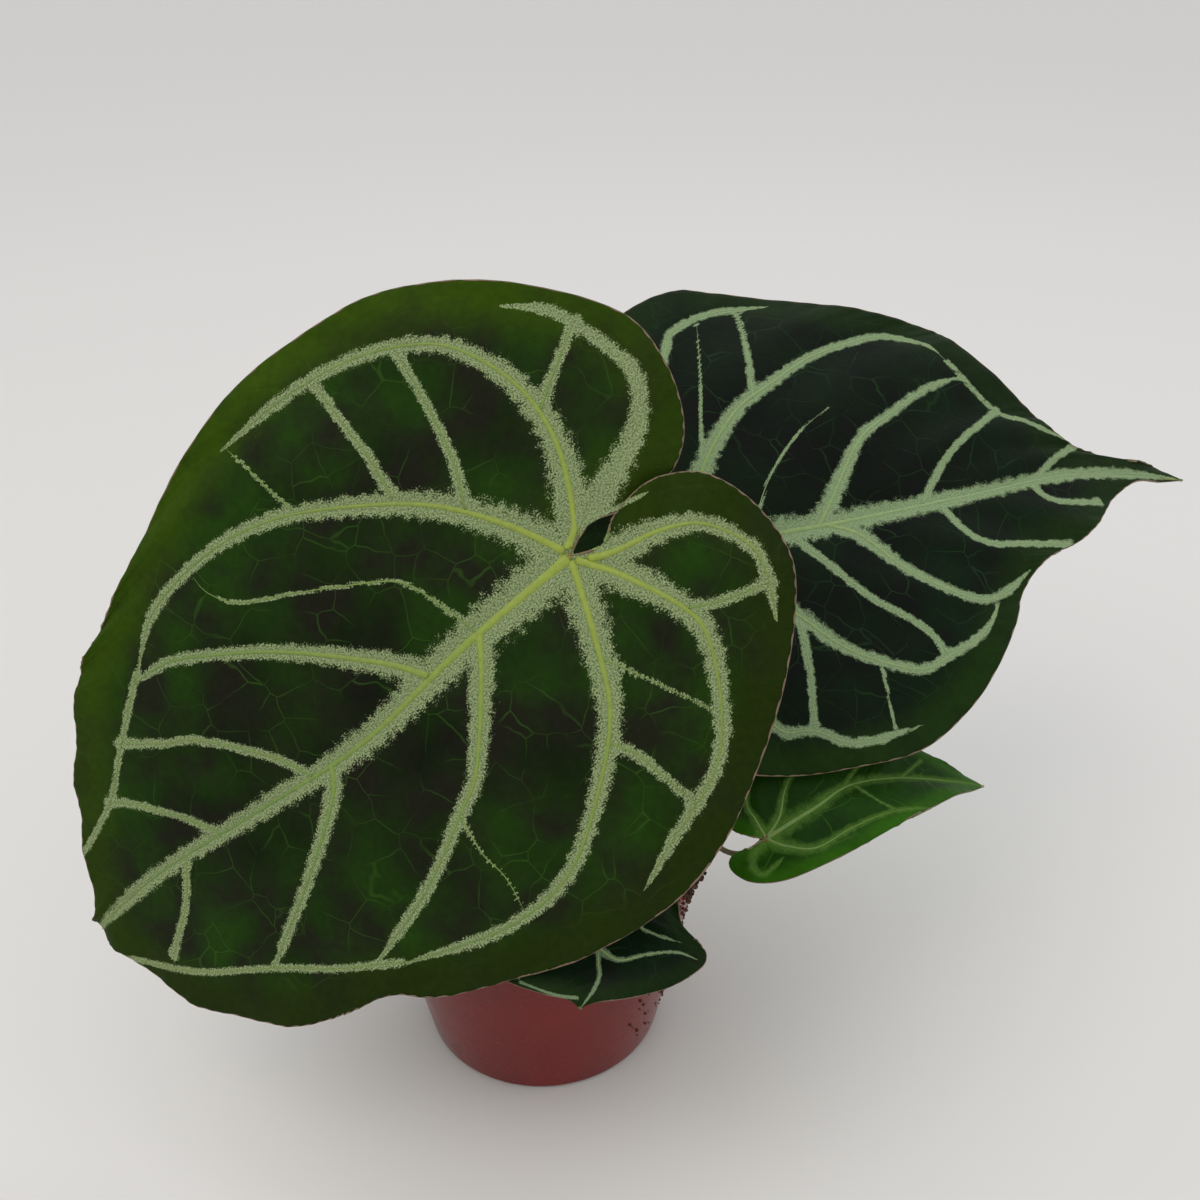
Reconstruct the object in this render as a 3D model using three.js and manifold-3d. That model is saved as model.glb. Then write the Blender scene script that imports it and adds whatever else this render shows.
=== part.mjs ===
// Potted crystal anthurium: a short-stemmed plant with four heart-shaped leaves in a 12 cm plastic pot.
// Millimetres, +Z up, origin at the middle of the pot's underside. The open side of the big leaf faces -Y.
import * as THREE from "three";
import Module from "manifold-3d";

// Pot: an injection-moulded nursery pot with a plain wall and a deep collar at the top
const POT_HEIGHT = 96;
const POT_TOP_RADIUS = 60;
const POT_BASE_RADIUS = 42;
const POT_WALL = 1.6;
const POT_FLOOR = 2.2;
const COLLAR_DEPTH = 15;
const COLLAR_STEP = 3.4; // how far the collar stands out from the wall under it
const LIP_RADIUS = 1.3; // rounding of the rim's outer edge
const BASE_ROUNDING = 2;
const DRAIN_HOLES = 6;
const DRAIN_RADIUS = 4;
const DRAIN_CIRCLE = 27; // radius of the circle that the holes stand on

// Potting mix: bark and fibre, filled to a little under the rim
const MIX_TOP = 86.5;
const MIX_RELIEF = 1.1;
const MIX_RINGS = 9;
const MIX_SECTORS = 44;
const BARK_CHIPS = 34;
const GAP = 0.3; // air between two pieces that meet

// Crown: the short upright stem that every leaf grows from
const CROWN_RADIUS = 6;
const CROWN_ROOT = 62;
const CROWN_HEAD = 8; // radius of the rounded head, where the leaf stalks start
const CROWN_HEAD_Z = 91.5;

// Leaves: blade thickness, the ribs under the veins, the swelling between them and the stalk's roundness
const BLADE = 0.8;
const RIB = 0.6;
const MIDRIB = 0.9;
const QUILT = 1.1;
const STALK_SIDES = 10;
const WELD = 0.06; // vertices nearer than this are one

// One entry for each leaf.
// at, heading, pitch, roll: the stalk's joint and the way the midrib leaves it, in degrees.
// arch, curl, curlFrom: how the midrib bends down, 1/mm, and where the tip starts to bend more.
// fold, dome: each half's lift from the midrib in degrees, and its bend across, 1/mm.
// lobeLift: how far each basal lobe stands up behind the joint.
// midrib: points [along, across] of the flattened blade.
// left, right: the flattened margin from the joint round the lobe to the tip. A row is
// [along, across, where its vein line leaves the midrib, the angle it leaves at, 1 on a main vein].
const LEAVES = [
  {
    name: "1",
    colour: 0x24421a,
    at: [12, -32, 202],
    heading: -164,
    pitch: -36,
    roll: -55,
    arch: 0.0019,
    curl: 0.085,
    curlFrom: 193,
    fold: [6, 5],
    dome: [0.0018, 0.0024],
    lobeLift: [4, 0],
    wave: 0.9,
    waves: 13,
    midrib: [[0, 0], [40, 1], [80, 4], [120, 0], [165, -5], [211, -4]],
    left: [
      [0, 0, 0, 155], [-7, 3, 0, 148], [-12, 2.4, 0, 137], [-17, -1, 0, 137], [-26, -2.5, 0, 136.5],
      [-35, -0.5, 0, 136], [-43, 6, 0, 135.5], [-48, 20, 0, 135], [-47, 36, 0, 134.5],
      [-39, 49, 0, 133.5, 1], [-23, 64, 0, 129], [-3, 78, 0, 123], [16, 87.5, 0, 115],
      [38, 92.5, 0, 108, 1], [66, 89.5, 0, 96], [88, 83, 0, 84], [109, 74.5, 0, 68, 1], [123, 66, 17, 61],
      [136, 63, 33, 52, 1], [146, 61, 60, 48], [160, 54, 92, 50, 1], [177, 40, 122, 45],
      [186, 28, 148, 42, 1], [196, 9, 176, 22], [203, -1, 194, 5], [211, -4, 211, 0],
    ],
    right: [
      [0, 0, 0, 155], [-7, -3.2, 0, 148], [-13, -3, 0, 137], [-25, 0.2, 0, 137], [-38, -1.3, 0, 136.5],
      [-48, -10, 0, 136], [-53.5, -26, 0, 135.5], [-52, -45, 0, 135], [-31, -72, 0, 134, 1],
      [-9, -88.5, 0, 128], [13, -95, 0, 120], [43, -98, 0, 110], [78, -90.5, 0, 99, 1], [102, -81, 0, 87],
      [123, -73, 0, 73], [134, -69.5, 0, 63, 1], [141, -66.5, 26, 57], [147, -62, 52, 50, 1],
      [158, -52, 76, 48], [167, -43, 99, 47, 1], [176, -33, 118, 42], [184, -23, 136, 44, 1],
      [196, -10, 168, 28], [203, -7, 190, 15], [211, -4, 211, 0],
    ],
    stalk: [[-3, -8, 120], [1, -13, 150], [9, -17, 180], [12, -26, 194], [12.2, -30.6, 200.2]],
    stalkFrom: [-0.25, -0.35, 0.9],
    stalkRadii: [2.7, 1.9],
  },
  {
    name: "2",
    colour: 0x15301f,
    at: [50, 36, 169],
    heading: 12,
    pitch: 8,
    roll: 43,
    arch: 0.0018,
    curl: 0.003,
    curlFrom: 120,
    fold: [2, 8],
    dome: [0.003, 0.003],
    lobeLift: [0, 0],
    wave: 1,
    waves: 9,
    midrib: [[0, 0], [50, -2], [100, -1], [150, 1], [204, -5]],
    left: [
      [0, 0, 0, 154], [-10, 3.5, 0, 151], [-22, 2.5, 0, 147], [-35, 1.5, 0, 145], [-41, 12, 0, 143],
      [-39.5, 28, 0, 141], [-33, 43, 0, 137], [-26, 59, 0, 132], [-15.5, 78, 0, 126], [0, 95, 0, 118],
      [20, 101.5, 0, 108], [38, 97.5, 0, 99, 1], [69, 87, 0, 87], [92, 78, 0, 75], [113, 67.5, 0, 61, 1],
      [121, 58.5, 20, 56], [137.5, 33, 45, 47, 1], [144, 23, 65, 43], [151, 13, 84, 37, 1],
      [166, 7.5, 112, 29], [180, 3.5, 129, 21, 1], [191, 0.8, 170, 10], [204, -5, 204, 0],
    ],
    right: [
      [0, 0, 0, 163], [-9, -1.5, 0, 158], [-20, -2, 0, 152], [-30, -7, 0, 149], [-35, -17, 0, 147],
      [-35, -32, 0, 143], [-30, -48, 0, 138], [-21, -63, 0, 129], [-8, -75, 0, 118], [10, -81, 0, 104, 1],
      [30, -83.5, 0, 91], [56, -83, 0, 76], [80, -71, 0, 62], [99, -52, 0, 53, 1], [109, -39, 24, 47],
      [119.5, -30.5, 48, 44, 1], [129, -27, 68, 40], [139, -24.5, 90, 37, 1], [150, -18.5, 108, 33],
      [162.5, -10, 128, 28, 1], [176, -4.5, 156, 20], [190, -5, 182, 10], [204, -5, 204, 0],
    ],
    stalk: [[14, 17, 118], [28, 30, 142], [42, 37, 157], [48.6, 36.7, 166.6]],
    stalkFrom: [0.45, 0.45, 0.77],
    stalkRadii: [2.4, 1.8],
  },
  {
    name: "3",
    colour: 0x2f5a17,
    at: [72, -32, 103],
    heading: 20,
    pitch: 18,
    roll: 27,
    arch: 0.01,
    curl: 0.01,
    curlFrom: 50,
    fold: [8, 8],
    dome: [0.006, 0.006],
    lobeLift: [0, 0],
    wave: 0.5,
    waves: 6,
    midrib: [[0, 0], [19, 2], [33, 4.5], [50, 2], [75, -4], [98, -7]],
    left: [
      [0, 0, 0, 142], [-4, 3, 0, 140], [-8, 7.5, 0, 137], [-8.5, 13.5, 0, 130], [-4, 19.5, 0, 118],
      [3, 24, 0, 104, 1], [12, 26.5, 0, 90], [23, 26.8, 0, 75], [34, 25, 0, 59, 1], [48, 20, 18, 50],
      [60, 15, 32, 44, 1], [68, 10, 44, 40], [76, 4, 53, 32, 1], [86, -2, 74, 15], [98, -7, 98, 0],
    ],
    right: [
      [0, 0, 0, 172], [-5, -0.5, 0, 168], [-10.5, 0.6, 0, 158], [-13.6, -1.2, 0, 155],
      [-14, -4.5, 0, 150], [-11, -9.8, 0, 142], [-5, -13.4, 0, 123, 1], [4, -15.4, 0, 98],
      [17, -15.8, 0, 72], [34, -14.6, 0, 50], [53, -12.4, 0, 34, 1], [62, -11.2, 28, 32],
      [72, -9.9, 50, 28], [85, -8.8, 74, 20], [98, -7, 98, 0],
    ],
    stalk: [
      [25, -9, 103], [45, -23, 102.5], [54, -28, 99.6],
      [61, -31, 96.5], [67, -32.2, 97.2], [70.1, -31.8, 100.4],
    ],
    stalkFrom: [0.83, -0.1, 0.55],
    stalkRadii: [1.9, 1.1],
  },
  {
    name: "4",
    colour: 0x1b3320,
    at: [24, -44, 106],
    heading: -101,
    pitch: -6,
    roll: 0,
    arch: 0.012,
    curl: 0.04,
    curlFrom: 42,
    fold: [2, 2],
    dome: [0.008, 0.006],
    lobeLift: [0, 0],
    wave: 0.6,
    waves: 7,
    midrib: [[0, 0], [20, 0], [33, 2], [40, 3], [48, -1]],
    left: [
      [0, 0, 0, 161], [-5, 1.2, 0, 159], [-10, 3, 0, 155], [-13.5, 8, 0, 149], [-12, 15, 0, 138],
      [-4, 20, 0, 115, 1], [6, 21.5, 0, 96], [14, 22.5, 0, 82], [19, 24.2, 2, 70], [23, 28.5, 8, 66, 1],
      [27, 32.5, 15, 68], [32, 31, 24, 66, 1], [38, 24, 31, 56], [43, 13, 37, 45], [45.5, 4, 42, 25],
      [48, -1, 48, 0],
    ],
    right: [
      [0, 0, 0, 159], [-5, -1.5, 0, 157], [-10, -4, 0, 153], [-13, -10, 0, 147], [-12, -18, 0, 136],
      [-5, -26, 0, 118], [6, -32, 0, 98, 1], [18, -35, 0, 82], [30, -35.5, 2, 72], [39, -31.5, 8, 64, 1],
      [43.5, -23, 20, 56], [45.5, -12, 33, 50, 1], [46, -5, 41, 50], [48, -1, 48, 30],
    ],
    stalk: [[9, -18, 100], [17, -31, 101.4], [22.9, -41.8, 103.9]],
    stalkFrom: [0.25, -0.83, 0.5],
    stalkRadii: [2, 1.2],
  },
];

const wasm = await Module();
wasm.setup();

// Between a three.js geometry and a manifold solid, for the pieces that need a cut or a join
function toSolid(geometry) {
  const flat = geometry.index ? geometry.toNonIndexed() : geometry;
  const position = flat.getAttribute("position");
  const mesh = new wasm.Mesh({
    numProp: 3,
    vertProperties: Float32Array.from(position.array),
    triVerts: Uint32Array.from({ length: position.count }, (_, i) => i),
  });
  mesh.merge();
  return new wasm.Manifold(mesh);
}

function fromSolid(solid) {
  const mesh = solid.getMesh();
  const geometry = new THREE.BufferGeometry();
  geometry.setAttribute("position", new THREE.BufferAttribute(mesh.vertProperties, 3));
  geometry.setIndex(new THREE.BufferAttribute(mesh.triVerts, 1));
  return geometry;
}

function piece(name, geometry, colour, roughness) {
  geometry.computeVertexNormals();
  const material = new THREE.MeshStandardMaterial({ color: colour, roughness, metalness: 0 });
  const mesh = new THREE.Mesh(geometry, material);
  mesh.name = name;
  return mesh;
}

// A repeatable draw from 0 to 1
function draws(seed) {
  let state = seed;
  return () => {
    state = (state * 16807) % 2147483647;
    return state / 2147483647;
  };
}

// A smooth run through rows of numbers, with the same count of steps in each span
function smoothRows(rows, steps) {
  const out = [];
  const row = (i) => rows[Math.min(Math.max(i, 0), rows.length - 1)];
  for (let i = 0; i < rows.length - 1; i++) {
    for (let k = 0; k < steps; k++) {
      const t = k / steps;
      out.push(
        rows[i].slice(0, 4).map((_, c) => {
          const [a, b, d, e] = [row(i - 1)[c], row(i)[c], row(i + 1)[c], row(i + 2)[c]];
          const bend = (2 * a - 5 * b + 4 * d - e) * t * t + (3 * b - a - 3 * d + e) * t * t * t;
          return 0.5 * (2 * b + (d - a) * t + bend);
        }),
      );
    }
  }
  out.push(rows[rows.length - 1].slice(0, 4));
  return out;
}

// Pot

// The wall's outer radius at a height, and the inner one
const COLLAR_LOW = POT_HEIGHT - COLLAR_DEPTH;
const WALL_TOP_RADIUS = POT_TOP_RADIUS - 0.6 - COLLAR_STEP;
const outside = (z) => POT_BASE_RADIUS + ((WALL_TOP_RADIUS - POT_BASE_RADIUS) * z) / COLLAR_LOW;
const inside = (z) => (z < COLLAR_LOW ? outside(z) : POT_TOP_RADIUS - 0.6) - POT_WALL;

function potGeometry() {
  const point = (r, z) => new THREE.Vector2(r, z);
  const profile = [point(0, 0), point(POT_BASE_RADIUS - BASE_ROUNDING, 0)];
  profile.push(point(POT_BASE_RADIUS - 0.4, 0.6), point(outside(BASE_ROUNDING), BASE_ROUNDING));
  profile.push(point(outside(COLLAR_LOW), COLLAR_LOW), point(POT_TOP_RADIUS - 0.6, COLLAR_LOW + 0.8));
  for (let i = 0; i <= 4; i++) {
    const a = (i / 4) * (Math.PI / 2);
    const r = POT_TOP_RADIUS - LIP_RADIUS + LIP_RADIUS * Math.cos(a);
    profile.push(point(r, POT_HEIGHT - LIP_RADIUS + LIP_RADIUS * Math.sin(a)));
  }
  profile.push(point(inside(POT_HEIGHT) + 0.5, POT_HEIGHT), point(inside(POT_HEIGHT), POT_HEIGHT - 0.5));
  profile.push(point(inside(POT_HEIGHT), COLLAR_LOW + 1.6));
  profile.push(point(inside(COLLAR_LOW - 0.8), COLLAR_LOW - 0.8));
  profile.push(point(inside(POT_FLOOR + 2), POT_FLOOR + 2), point(inside(POT_FLOOR) - 1.6, POT_FLOOR));
  profile.push(point(0, POT_FLOOR));
  const body = new THREE.LatheGeometry(profile, 56);
  body.rotateX(Math.PI / 2);
  let solid = toSolid(body);
  for (let i = 0; i < DRAIN_HOLES; i++) {
    const a = ((i + 0.5) / DRAIN_HOLES) * 2 * Math.PI;
    const hole = new THREE.CylinderGeometry(DRAIN_RADIUS, DRAIN_RADIUS, 10, 16);
    hole.rotateX(Math.PI / 2);
    hole.translate(DRAIN_CIRCLE * Math.cos(a), DRAIN_CIRCLE * Math.sin(a), 1);
    solid = solid.subtract(toSolid(hole));
  }
  return fromSolid(solid);
}

// Potting mix

// The mix's top: low waves that die out at the pot's wall and round the crown
function mixHeight(x, y) {
  const r = Math.hypot(x, y);
  const calm = THREE.MathUtils.smoothstep(r, 8, 18) * (1 - THREE.MathUtils.smoothstep(r, 48, 56));
  const waves = Math.sin(x * 0.31 + 1) * Math.cos(y * 0.27) + 0.6 * Math.sin(x * 0.71 - y * 0.53);
  return MIX_TOP + MIX_RELIEF * calm * waves;
}

function mixGeometry() {
  const vertices = [[0, 0, POT_FLOOR + GAP]];
  const rings = [[inside(POT_FLOOR) - 3, POT_FLOOR + GAP], [inside(POT_FLOOR + 3) - GAP, POT_FLOOR + 3]];
  const neck = inside(COLLAR_LOW - 2) - GAP;
  rings.push([neck, COLLAR_LOW - 2], [neck + 0.2, MIX_TOP - 1]);
  for (let i = MIX_RINGS; i > 0; i--) rings.push([(i / MIX_RINGS) * (neck - 0.7), null]);
  for (const [r, z] of rings) {
    for (let k = 0; k < MIX_SECTORS; k++) {
      const a = (k / MIX_SECTORS) * 2 * Math.PI;
      const [x, y] = [r * Math.cos(a), r * Math.sin(a)];
      vertices.push([x, y, z ?? mixHeight(x, y)]);
    }
  }
  const top = vertices.length;
  vertices.push([0, 0, mixHeight(0, 0)]);
  const index = [];
  const at = (ring, k) => 1 + ring * MIX_SECTORS + (k % MIX_SECTORS);
  for (let k = 0; k < MIX_SECTORS; k++) {
    index.push(0, at(0, k + 1), at(0, k));
    for (let j = 0; j < rings.length - 1; j++) {
      index.push(at(j, k), at(j, k + 1), at(j + 1, k + 1), at(j, k), at(j + 1, k + 1), at(j + 1, k));
    }
    index.push(at(rings.length - 1, k), at(rings.length - 1, k + 1), top);
  }
  const plug = new THREE.BufferGeometry();
  plug.setAttribute("position", new THREE.Float32BufferAttribute(vertices.flat(), 3));
  plug.setIndex(index);
  let solid = toSolid(plug);
  const draw = draws(11);
  for (let i = 0; i < BARK_CHIPS; i++) {
    const r = 16 + 34 * Math.sqrt(draw());
    const a = 2 * Math.PI * draw();
    const [x, y] = [r * Math.cos(a), r * Math.sin(a)];
    const chip = new THREE.IcosahedronGeometry(1, 0);
    chip.scale(1.6 + 2.6 * draw(), 1.4 + 1.6 * draw(), 1.2 + 1.2 * draw());
    chip.rotateX(0.8 * (draw() - 0.5));
    chip.rotateZ(Math.PI * draw());
    chip.translate(x, y, mixHeight(x, y) + 0.3 * draw());
    solid = solid.add(toSolid(chip));
  }
  const hole = new THREE.CylinderGeometry(CROWN_RADIUS + GAP, CROWN_RADIUS + GAP, 60, 24);
  hole.rotateX(Math.PI / 2);
  hole.translate(0, 0, CROWN_ROOT - GAP + 30);
  return fromSolid(solid.subtract(toSolid(hole)));
}

// Crown

function crownGeometry() {
  const profile = [new THREE.Vector2(0, CROWN_ROOT), new THREE.Vector2(CROWN_RADIUS - 1, CROWN_ROOT)];
  profile.push(new THREE.Vector2(CROWN_RADIUS, CROWN_ROOT + 2));
  profile.push(new THREE.Vector2(CROWN_RADIUS, CROWN_HEAD_Z - 3));
  for (let i = 0; i <= 5; i++) {
    const a = (i / 5) * (Math.PI / 2);
    profile.push(new THREE.Vector2(CROWN_HEAD * Math.cos(a), CROWN_HEAD_Z + CROWN_HEAD * Math.sin(a)));
  }
  profile[profile.length - 1].x = 0;
  const body = new THREE.LatheGeometry(profile, 24);
  body.rotateX(Math.PI / 2);
  return fromSolid(toSolid(body));
}

// Leaf stalks: a round tube through chosen points, thick at the foot and swollen in the knee under the blade

function stalkGeometry(leaf) {
  const out = new THREE.Vector3(...leaf.stalkFrom).normalize();
  const head = new THREE.Vector3(0, 0, CROWN_HEAD_Z);
  const foot = head.clone().addScaledVector(out, CROWN_HEAD + GAP + 0.1);
  const points = [foot, foot.clone().addScaledVector(out, 6)];
  for (const p of leaf.stalk) points.push(new THREE.Vector3(...p));
  const curve = new THREE.CatmullRomCurve3(points, false, "centripetal");
  const length = curve.getLength();
  const steps = Math.round(length / 6) + 4;
  const frames = curve.computeFrenetFrames(steps, false);
  const [low, high] = leaf.stalkRadii;
  const vertices = [];
  for (let i = 0; i <= steps; i++) {
    const t = i / steps;
    const knee = Math.exp(-(((1 - t) * length - 5) ** 2) / 30);
    const radius = low + (0.78 * high - low) * Math.min(1, t * 1.25) + 0.22 * high * knee;
    const centre = curve.getPointAt(t);
    for (let k = 0; k < STALK_SIDES; k++) {
      const a = (k / STALK_SIDES) * 2 * Math.PI;
      const p = centre.clone();
      p.addScaledVector(frames.normals[i], radius * Math.cos(a));
      p.addScaledVector(frames.binormals[i], radius * Math.sin(a));
      vertices.push(p.x, p.y, p.z);
    }
  }
  const last = steps * STALK_SIDES;
  const end = curve.getPointAt(1);
  vertices.push(foot.x, foot.y, foot.z, end.x, end.y, end.z);
  const [footCentre, endCentre] = [last + STALK_SIDES, last + STALK_SIDES + 1];
  const index = [];
  for (let k = 0; k < STALK_SIDES; k++) {
    const n = (k + 1) % STALK_SIDES;
    for (let i = 0; i < steps; i++) {
      const [a, b] = [i * STALK_SIDES, (i + 1) * STALK_SIDES];
      index.push(a + k, a + n, b + n, a + k, b + n, b + k);
    }
    index.push(footCentre, n, k, endCentre, last + k, last + n);
  }
  const tube = new THREE.BufferGeometry();
  tube.setAttribute("position", new THREE.Float32BufferAttribute(vertices, 3));
  tube.setIndex(index);
  return tube;
}

// Blades

// A point of the flattened blade, bent into the leaf's own frame: x along, y across, z out of the upper face
function bend(leaf, u, v, middle, half, rise) {
  const side = half > 0 ? 0 : 1;
  const back = THREE.MathUtils.smoothstep(-u, 0, 40);
  const [flat, tight] = [Math.min(u, leaf.curlFrom), Math.max(u - leaf.curlFrom, 0)];
  const turn = leaf.arch * flat;
  const more = leaf.curl * tight;
  const x1 = Math.sin(turn) / leaf.arch;
  const z1 = (Math.cos(turn) - 1) / leaf.arch;
  const x2 = Math.sin(more) / leaf.curl;
  const z2 = (Math.cos(more) - 1) / leaf.curl;
  const x = x1 + Math.cos(turn) * x2 + Math.sin(turn) * z2;
  const z = z1 - Math.sin(turn) * x2 + Math.cos(turn) * z2;
  const across = half * (v - middle);
  const fold = THREE.MathUtils.degToRad(leaf.fold[side]);
  const dome = leaf.dome[side];
  const y0 = Math.sin(dome * across) / dome;
  const z0 = (Math.cos(dome * across) - 1) / dome;
  const y = y0 * Math.cos(fold) - z0 * Math.sin(fold);
  const h = y0 * Math.sin(fold) + z0 * Math.cos(fold) + leaf.lobeLift[side] * back + rise;
  return new THREE.Vector3(x + h * Math.sin(turn + more), middle + half * y, z + h * Math.cos(turn + more));
}

// Where a vein line leaves the midrib, in whole millimetres from the joint
const rootOf = (row) => Math.max(Math.round(row[2]), 0);

function bladeGeometry(leaf, steps, rows) {
  const vertices = [];
  const thickness = [];
  const triangles = [];
  const rib = smoothRows(leaf.midrib.map((p) => [p[0], p[1], 0, 0]), 12);
  const middleAt = (u) => {
    if (u <= 0) return 0;
    if (u >= rib.at(-1)[0]) return rib.at(-1)[1];
    const i = rib.findIndex((p) => p[0] >= u);
    const t = (u - rib[i - 1][0]) / (rib[i][0] - rib[i - 1][0]);
    return rib[i - 1][1] + t * (rib[i][1] - rib[i - 1][1]);
  };
  const add = (p, thick) => {
    const near = vertices.findIndex((q) => q.distanceTo(p) < WELD);
    if (near >= 0) return near;
    thickness.push(thick);
    return vertices.push(p) - 1;
  };
  const rooted = (margin) => smoothRows(margin, steps).map((row) => [row[0], row[1], rootOf(row), row[3]]);
  // Both halves share every vertex of the midrib
  const stations = [...new Set([...rooted(leaf.left), ...rooted(leaf.right)].map((row) => row[2]))];
  stations.sort((a, b) => a - b);
  const midribAt = (u) => add(bend(leaf, u, middleAt(u), middleAt(u), 1, 0), BLADE + MIDRIB * (1 - u / 230));
  for (const half of [1, -1]) {
    const margin = half > 0 ? leaf.left : leaf.right;
    const lines = rooted(margin);
    const veins = margin.map((row, i) => (row[4] ? i * steps : -1)).filter((i) => i >= 0);
    const grid = lines.map(([u, v, root, degrees], s) => {
      const leave = THREE.MathUtils.degToRad(degrees);
      const start = [root, middleAt(root)];
      const chord = [u - start[0], v - start[1]];
      const long = Math.hypot(...chord);
      // A vein line leaves at its own angle and bends evenly to the margin
      const straight = Math.atan2(chord[1], chord[0]);
      const turn = Math.atan2(Math.sin(half * leave - straight), Math.cos(half * leave - straight));
      const swing = THREE.MathUtils.clamp(turn, -1.2, 1.2);
      const reach = long / 2 / Math.cos(swing);
      const control = [
        start[0] + reach * Math.cos(straight + swing),
        start[1] + reach * Math.sin(straight + swing),
      ];
      const before = veins.filter((i) => i <= s).pop() ?? 0;
      const after = veins.find((i) => i > s) ?? lines.length - 1;
      const between = Math.sin((Math.PI * (s - before)) / (after - before)) ** 2;
      return Array.from({ length: rows + 1 }, (_, j) => {
        if (j === 0) return midribAt(root);
        const f = j / rows;
        const [a, b, c] = [(1 - f) ** 2, 2 * f * (1 - f), f * f];
        const pu = a * start[0] + b * control[0] + c * u;
        const pv = a * start[1] + b * control[1] + c * v;
        const swell = QUILT * between * 4 * f * (1 - f) * Math.min(1, long / 60);
        const ripple = leaf.wave * f ** 4 * Math.sin((2 * Math.PI * leaf.waves * s) / (lines.length - 1));
        const thick = BLADE + (between < 0.01 ? RIB * (1 - f) : 0);
        const fade = Math.min(1, Math.hypot(u, v) / 20);
        return add(bend(leaf, pu, pv, middleAt(pu), half, (swell + ripple) * fade), thick);
      });
    });
    for (let s = 0; s < grid.length - 1; s++) {
      for (let j = 0; j < rows; j++) {
        const [a, b, c, d] = [grid[s][j], grid[s + 1][j], grid[s + 1][j + 1], grid[s][j + 1]];
        const along = j > 0 ? [] : stations.filter((u) => u >= lines[s][2] && u <= lines[s + 1][2]);
        // The last line has no length, so the midrib's faces meet the line before it there
        const apex = along.length > 1 && b === c ? d : c;
        const faces = apex === c ? [[a, c, d]] : [];
        if (along.length < 2) faces.push([a, b, c]);
        for (let i = 1; i < along.length; i++) {
          faces.push([midribAt(along[i - 1]), midribAt(along[i]), apex]);
        }
        for (const face of faces) {
          if (new Set(face).size < 3) continue;
          triangles.push(half > 0 ? [face[0], face[2], face[1]] : face);
        }
      }
    }
  }
  // The lower face is the upper one, sunk along its normals; the margin closes the two
  const normals = vertices.map(() => new THREE.Vector3());
  for (const [a, b, c] of triangles) {
    const ab = vertices[b].clone().sub(vertices[a]);
    const normal = ab.cross(vertices[c].clone().sub(vertices[a]));
    for (const i of [a, b, c]) normals[i].add(normal);
  }
  const count = vertices.length;
  const low = vertices.map((p, i) => p.clone().addScaledVector(normals[i].normalize(), -thickness[i]));
  const position = [...vertices, ...low].flatMap((p) => [p.x, p.y, p.z]);
  const index = [];
  const edges = new Set();
  for (const [a, b, c] of triangles) {
    index.push(a, b, c, a + count, c + count, b + count);
    for (const [p, q] of [[a, b], [b, c], [c, a]]) edges.add(p + "," + q);
  }
  for (const edge of edges) {
    const [p, q] = edge.split(",").map(Number);
    if (edges.has(q + "," + p)) continue;
    index.push(p, q + count, q, p, p + count, q + count);
  }
  const blade = new THREE.BufferGeometry();
  blade.setAttribute("position", new THREE.Float32BufferAttribute(position, 3));
  blade.setIndex(index);
  return blade;
}

// The leaf's own frame: x along the midrib, z out of the upper face
function leafAxes(leaf) {
  const [heading, pitch, roll] = [leaf.heading, leaf.pitch, leaf.roll].map(THREE.MathUtils.degToRad);
  const along = new THREE.Vector3(
    Math.cos(pitch) * Math.cos(heading),
    Math.cos(pitch) * Math.sin(heading),
    Math.sin(pitch),
  );
  const level = new THREE.Vector3(-Math.sin(heading), Math.cos(heading), 0);
  const face = along.clone().cross(level);
  const across = level.clone().multiplyScalar(Math.cos(roll)).addScaledVector(face, Math.sin(roll));
  return new THREE.Matrix4().makeBasis(along, across, along.clone().cross(across));
}

const plant = new THREE.Group();
plant.add(piece("pot", potGeometry(), 0x8a2118, 0.35));
plant.add(piece("potting_mix", mixGeometry(), 0x4a2b1a, 0.95));
plant.add(piece("crown", crownGeometry(), 0x6d5a33, 0.8));
for (const leaf of LEAVES) {
  plant.add(piece("petiole_" + leaf.name, stalkGeometry(leaf), 0x56702c, 0.5));
  const big = leaf.midrib.at(-1)[0] > 120;
  const blade = piece("blade_" + leaf.name, bladeGeometry(leaf, 2, big ? 9 : 6), leaf.colour, 0.55);
  blade.position.set(...leaf.at);
  blade.setRotationFromMatrix(leafAxes(leaf));
  plant.add(blade);
}

export default plant;
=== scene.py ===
import math

import bpy
import numpy as np
from mathutils import Matrix, Vector, kdtree, noise


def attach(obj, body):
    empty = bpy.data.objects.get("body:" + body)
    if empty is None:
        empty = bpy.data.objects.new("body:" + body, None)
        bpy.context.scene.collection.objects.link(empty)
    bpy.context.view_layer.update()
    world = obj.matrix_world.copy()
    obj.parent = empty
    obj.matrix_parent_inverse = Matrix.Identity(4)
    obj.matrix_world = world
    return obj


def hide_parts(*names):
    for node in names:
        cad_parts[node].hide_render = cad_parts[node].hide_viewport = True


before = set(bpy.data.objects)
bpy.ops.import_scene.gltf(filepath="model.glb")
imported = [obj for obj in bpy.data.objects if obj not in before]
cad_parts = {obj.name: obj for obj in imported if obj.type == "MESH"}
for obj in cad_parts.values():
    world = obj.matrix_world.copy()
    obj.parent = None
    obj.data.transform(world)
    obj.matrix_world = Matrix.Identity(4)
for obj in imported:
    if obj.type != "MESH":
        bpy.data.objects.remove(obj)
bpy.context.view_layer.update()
bpy.ops.object.select_all(action="DESELECT")
MM = 0.001

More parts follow.
